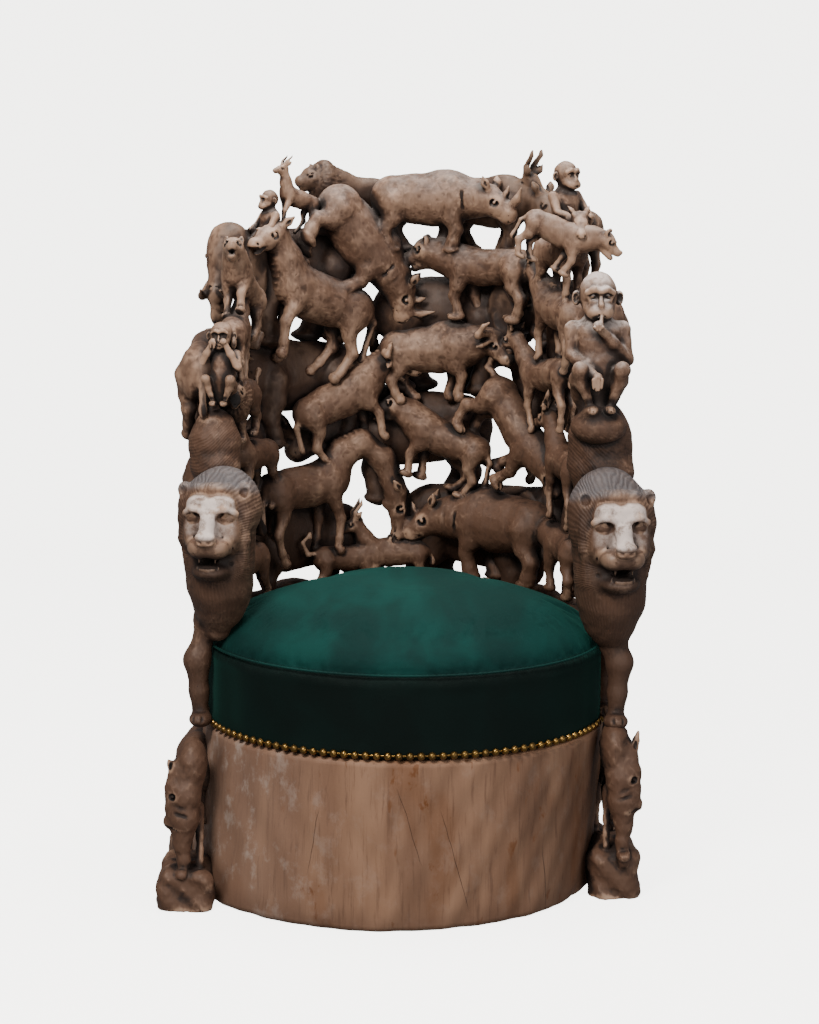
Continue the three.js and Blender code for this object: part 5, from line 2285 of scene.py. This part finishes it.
@dataclass(frozen=True)
class CarvedWood:
    """Old hand-carved wood: paler on the ridges, from wear and a painted highlight, and higher up, from
    painted light from above; darker in the depths and creases, from painted shade.
    """

    name: str = "carved_wood"
    # the light end: wear on the ridges, plus painted highlight and painted light from above
    worn_and_lit: Colour = colour(174, 139, 114)
    middle: Colour = colour(96, 68, 51)
    # dark brown for the grain and streaks, and for painted shade in hollows, creases and grooves
    deep: Colour = colour(40, 26, 19)
    # near black, for the painted shade in the deepest hollows and creases
    black: Colour = colour(10, 6, 4)
    # the lions' pale faces, and the painted highlight on upward surfaces high up
    pale_face_and_highlight: Colour = colour(214, 196, 186)
    weathered: Colour = colour(98, 97, 100)

    def material(self) -> bpy.types.Material:
        """Makes the material.

        Returns:
            The material.
        """
        s = Shader(self.name)
        place = s.place()
        grain = s.grain(place, 0.14, 190.0, 4.0, 0.62)
        streak = s.grain(place, 0.1, 42.0, 3.0, 0.55, 0.3)
        patch = s.noise(place, 6.0, 3.0, 0.5)
        spot = s.noise(place, 46.0, 4.0, 0.6)
        chisel = s.grain(place, 0.55, 95.0, 2.0, 0.45)
        hollow, crease, ridge = s.attribute("hollow"), s.attribute("crease"), s.attribute("ridge")
        # painted light: the wood is made lighter higher up, where the light from above falls
        high = s.split(place)[2].band(0.4, 1.15)
        uneven = (spot - 0.5) * 0.35 + (patch - 0.5) * 1.1 + (streak - 0.5) * 0.5
        # lightness: ridges (wear and painted highlight), random tone and painted light higher up, less
        # painted shade in the creases and hollows
        light = (ridge * 1.2 + 0.26 + uneven + high * 0.34 - crease * 1.7 - hollow * 1.2).held()
        base = s.mix(light.band(0.1, 0.9), self.middle, self.worn_and_lit)
        # painted shade: the hollows and the creases are darkened
        shade_depth = (hollow * 1.7 + crease * 2.2 + uneven * -0.5 - 0.3).band(0.0, 0.9)
        base = s.mix(shade_depth, base, self.deep)
        # painted shade: the deepest hollows and creases go nearly black
        base = s.mix((hollow.band(0.5, 0.9) + crease.band(0.45, 0.85)).held() * 0.85, base, self.black)
        base = s.mix(streak.band(0.52, 0.74) * 0.35, base, self.deep)
        # above 0: the lions' pale faces, and the painted highlight on upward surfaces high up
        painted = s.attribute("pale")
        blotch = 0.1 + s.noise(place, 42.0, 5.0, 0.7).band(0.34, 0.6) * 0.95
        base = s.mix((painted.maths("MAXIMUM", 0.0) * blotch * 1.25).held(), base, self.pale_face_and_highlight)
        # below 0: the dark mane and lips, and the painted shade in the mouth, the eye sockets and the far
        # layer's inner faces
        base = s.mix((painted * -1.0).held(), base, self.deep)
        base = s.mix(s.attribute("grey") * (0.4 + grain * 0.6), base, self.weathered)
        base = s.mix(grain.band(0.55, 0.78) * 0.3, base, self.deep)
        comb = (s.attribute("strand") + spot * 7.0 + patch * 9.0).maths("SINE") * s.attribute("furry")
        # painted shade in the grooves of the combed hair
        base = s.mix((comb * -1.0).band(0.0, 0.9) * 0.3, base, self.deep)
        coarse = s.bump(chisel, 0.0022, 0.6)
        combed = s.bump(comb, 0.0008, 0.7, coarse)
        normal = s.bump(grain * 0.6 + spot * 0.4, 0.001, 0.5, combed)
        rough = 0.58 + spot * 0.16 + crease * 0.15 - light * 0.2
        return s.wood(base, rough, normal, 0.45)


@dataclass(frozen=True)
class TrunkWood:
    """The plain trunk: pinkish brown, with upright grain, slanting checks, stains and scuffs."""

    name: str = "trunk_wood"
    light: Colour = colour(156, 119, 93)
    middle: Colour = colour(130, 95, 72)
    dark: Colour = colour(84, 57, 42)
    stain: Colour = colour(112, 66, 30)
    scuff: Colour = colour(150, 122, 106)
    pale: Colour = colour(192, 174, 162)
    black: Colour = colour(24, 15, 12)

    def check(self, s: Shader, turn: Wire, height: Wire, wander: Wire, line: Sequence[float]) -> Wire:
        """Gives a thin drying check along a slanted line.

        Args:
            s: The material.
            turn: Place round the trunk.
            height: Height on the trunk.
            wander: Noise that bends the line.
            line: Turn at the floor, slant, lowest height, highest height, half width.

        Returns:
            A mask that is 1 in the check.
        """
        start, slant, low, high, half = line
        away = (turn - start - height * slant + (wander - 0.5) * 0.06).maths("ABSOLUTE")
        reach = height.band(low, low + 0.03) * (1 - height.band(high - 0.03, high))
        return (1 - away.band(half * 0.4, half)) * reach

    def material(self) -> bpy.types.Material:
        """Makes the material.

        Returns:
            The material.
        """
        s = Shader(self.name)
        place = s.place()
        x, y, height = s.split(place)
        turn = x.maths("ARCTAN2", y * -1.0)
        grain = s.grain(place, 0.07, 150.0, 5.0, 0.65)
        band = s.grain(place, 0.12, 16.0, 4.0, 0.55, 0.4)
        patch = s.grain(place, 0.6, 5.0, 3.0, 0.5)
        spot = s.noise(place, 60.0, 3.0, 0.6)
        wander = s.grain(place, 0.5, 14.0, 3.0, 0.5)
        base = s.mix(band.band(0.3, 0.7), self.middle, self.light)
        base = s.mix(patch.band(0.5, 0.75) * 0.55, base, self.dark)
        base = s.mix(grain.band(0.5, 0.72) * 0.5, base, self.dark)
        stains = s.grain(place, 0.4, 9.0, 2.0, 0.5, 0.8)
        specks = s.grain(place, 0.5, 34.0, 4.0, 0.6, 0.5)
        base = s.mix(stains.band(0.56, 0.7) * 0.4 + specks.band(0.62, 0.7) * 0.7, base, self.stain)
        scuffs = s.grain(place, 0.8, 24.0, 5.0, 0.7)
        left = 1 - x.band(-0.32, -0.05)
        base = s.mix(left * (0.3 + patch * 0.3), base, self.scuff)
        base = s.mix(scuffs.band(0.5, 0.7) * (0.1 + left * 0.5), base, self.pale)
        base = s.mix((1 - height.band(0.0, 0.05)) * (0.3 + spot * 0.4), base, self.dark)
        lines = (
            (-0.5, 0.5, 0.08, 0.2, 0.0022), (0.2, -1.0, 0.1, 0.24, 0.002), (0.34, -0.9, 0.02, 0.2, 0.002),
            (0.8, -0.3, 0.0, 0.12, 0.003),
        )
        crack = self.check(s, turn, height, wander, lines[0])
        for line in lines[1:]:
            crack = crack.maths("MAXIMUM", self.check(s, turn, height, wander, line))
        base = s.mix(crack * 0.6, base, self.black)
        # painted shade where the carving stands round the trunk
        base = s.mix(s.attribute("hollow").band(0.1, 0.6) * 0.7, base, self.dark)
        relief = grain * 0.5 + spot * 0.25 - crack * 2.2
        normal = s.bump(relief, 0.0014, 0.6)
        return s.wood(base, 0.5 + grain * 0.25 + patch * 0.1, normal, 0.4)


@dataclass(frozen=True)
class Velvet:
    """Bottle-green velvet: sheen along its edges, brushed patches and a short pile."""

    name: str = "green_velvet"
    pile: Colour = colour(2, 39, 36)
    brushed: Colour = colour(4, 64, 58)
    shade: Colour = colour(1, 5, 2)
    seam: float = 0.411

    def material(self) -> bpy.types.Material:
        """Makes the material.

        Returns:
            The material.
        """
        s = Shader(self.name)
        place = s.place()
        height = s.split(place)[2]
        nap = s.noise(place, 900.0, 2.0, 0.6)
        brush = s.noise(s.stretched(place, (1.0, 0.5, 1.0)), 9.0, 3.0, 0.5, 0.6)
        crush = s.noise(place, 60.0, 3.0, 0.55)
        base = s.mix(brush.band(0.35, 0.7) * 0.7 + crush * 0.15, self.pile, self.brushed)
        # painted shade: the side band below the seam is darkened
        base = s.mix((1 - height.band(self.seam - 0.004, self.seam + 0.003)) * 0.86, base, self.shade)
        base = s.mix(nap.band(0.4, 0.8) * 0.25, base, self.shade)
        normal = s.bump(nap * 0.5 + crush * 0.5, 0.0008, 0.4)
        values = {
            "Base Color": base, "Roughness": 0.78 + nap * 0.15, "Normal": normal, "Sheen Weight": 0.3,
            "Sheen Roughness": 0.4, "Sheen Tint": colour(60, 150, 132), "Specular IOR Level": 0.2
        }
        return s.finish(values)


@dataclass(frozen=True)
class Brass:
    """Aged brass, tarnished in the hollows and polished on the domes."""

    name: str = "aged_brass"
    bright: Colour = colour(150, 116, 62)
    tarnish: Colour = colour(34, 26, 16)

    def material(self) -> bpy.types.Material:
        """Makes the material.

        Returns:
            The material.
        """
        s = Shader(self.name)
        place = s.place()
        spot = s.noise(place, 210.0, 3.0, 0.6)
        patch = s.noise(place, 40.0, 2.0, 0.5)
        dull = (patch.band(0.4, 0.7) * 0.5 + spot.band(0.45, 0.8) * 0.4).held()
        base = s.mix(dull, self.bright, self.tarnish)
        normal = s.bump(spot, 0.0003, 0.4)
        return s.finish(
            {"Base Color": base, "Metallic": 1.0 - dull * 0.3, "Roughness": 0.26 + dull * 0.35,
            "Normal": normal}
        )


# ---- The set ----


@dataclass
class Studio:
    """A pale floor, soft lights and the camera."""

    eye: Point = (0.0, -4.5, 1.334)
    pitch: float = 0.1578
    lens: float = 96.3

    def floor(self) -> None:
        """Lays a pale paper floor that sweeps up behind the throne."""
        turn = np.linspace(0, math.pi / 2, 24)
        bend = [(3.0 + 1.2 * math.sin(t), 1.2 - 1.2 * math.cos(t)) for t in turn]
        profile = [(-9.0, 0.0), (-2.0, 0.0), (1.5, 0.0), *bend, (4.2, 7.0)]
        work = bmesh.new()
        rows = [[work.verts.new((x, y, z - 0.0005)) for x in (-8.0, 8.0)] for y, z in profile]
        for low, high in zip(rows, rows[1:]):
            work.faces.new((low[0], low[1], high[1], high[0])).smooth = True
        mesh = bpy.data.meshes.new("floor")
        work.to_mesh(mesh)
        work.free()
        floor = bpy.data.objects.new("floor", mesh)
        floor.visible_diffuse = floor.visible_glossy = False
        bpy.context.scene.collection.objects.link(floor)
        s = Shader("floor_paper")
        tone = s.mix(s.noise(s.place(), 3.0), (0.86, 0.85, 0.82, 1.0), (0.88, 0.87, 0.84, 1.0))
        values = {
            "Base Color": tone, "Roughness": 0.9, "Emission Color": (0.88, 0.865, 0.825, 1.0),
            "Emission Strength": 5.0
        }
        mesh.materials.append(s.finish(values))

    def lamp(self, name: str, spot: Point, aim: Point, size: float, power: float, tint: Point) -> None:
        """Hangs one soft square lamp.

        Args:
            name: Its name.
            spot: Where it hangs.
            aim: Where it points.
            size: Width of the lamp.
            power: Its power.
            tint: The colour of its light.
        """
        light = bpy.data.lights.new(name, "AREA")
        light.size, light.energy, light.color = size, power, tint
        lamp = bpy.data.objects.new(name, light)
        lamp.location = spot
        lamp.rotation_euler = (Vector(aim) - Vector(spot)).to_track_quat("-Z", "Y").to_euler()
        bpy.context.scene.collection.objects.link(lamp)

    def light(self) -> None:
        """Lights the throne from both front corners and above."""
        self.lamp("key", (-1.3, -2.8, 3.4), (0, 0, 0.6), 1.1, 150, (1.0, 0.97, 0.93))
        self.lamp("fill", (2.6, -3.0, 1.7), (0, 0, 0.6), 2.0, 42, (0.95, 0.97, 1.0))
        self.lamp("kick", (0.3, -3.2, 0.12), (0, 0, 0.3), 0.9, 16, (1.0, 0.96, 0.9))
        self.lamp("top", (0.1, 0.3, 3.3), (0, 0, 0.8), 1.6, 75, (1.0, 0.98, 0.95))
        world = bpy.data.worlds.new("room")
        world.use_nodes = True
        world.node_tree.nodes["Background"].inputs[0].default_value = (0.86, 0.88, 0.92, 1.0)
        world.node_tree.nodes["Background"].inputs[1].default_value = 0.22
        bpy.context.scene.world = world

    def camera(self) -> None:
        """Sets the camera up in front, a little above the seat."""
        camera = bpy.data.cameras.new("camera")
        camera.lens, camera.sensor_width, camera.sensor_fit = self.lens, 36.0, "AUTO"
        holder = bpy.data.objects.new("camera", camera)
        holder.location = self.eye
        holder.rotation_euler = (math.pi / 2 - self.pitch, -0.0044, -0.0008)
        bpy.context.scene.collection.objects.link(holder)
        bpy.context.scene.camera = holder

    def build(self) -> None:
        """Builds the set."""
        self.floor()
        self.light()
        self.camera()


def dress(piece: Piece, finish: object, slot: str, *nodes: str) -> None:
    """Gives a piece its finish and its body, and hides the nodes that it stands for.

    Args:
        piece: The piece to dress.
        finish: Its material.
        slot: Its material slot; not used.
        nodes: The solids that it stands for.
    """
    piece.data.materials.clear()
    piece.data.materials.append(finish)
    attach(piece, "root")
    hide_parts(*nodes)
    LOG.info("%s: %d faces, stands for %s", piece.name, len(piece.data.polygons), ", ".join(nodes[:2]))


def main() -> None:
    """Builds the throne, dresses it and sets the scene."""
    logging.basicConfig(level=logging.INFO, format="%(message)s")
    studio = Studio()
    studio.build()
    carver, drum = Carver(), Drum()
    drum.build(carver.hollows)
    carver.carve()
    drum.store_shading(carver.hollows)
    wood = CarvedWood().material()
    for sculpture in carver.pieces:
        dress(sculpture.piece, wood, "wood", "carved_trunk")
    dress(drum.piece, TrunkWood().material(), "wood", "carved_trunk")
    cushion = Cushion()
    velvet = Velvet().material()
    dress(cushion.build(), velvet, "velvet", "seat_cushion")
    dress(cushion.welt(), velvet, "velvet", "seat_cushion")
    trim, brass = Trim(), Brass().material()
    dress(trim.strip(), brass, "brass", "nail_trim")
    dress(trim.nails(), brass, "brass", *[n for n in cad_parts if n.startswith("trim_nail_")])


if __name__ == "__main__":
    main()
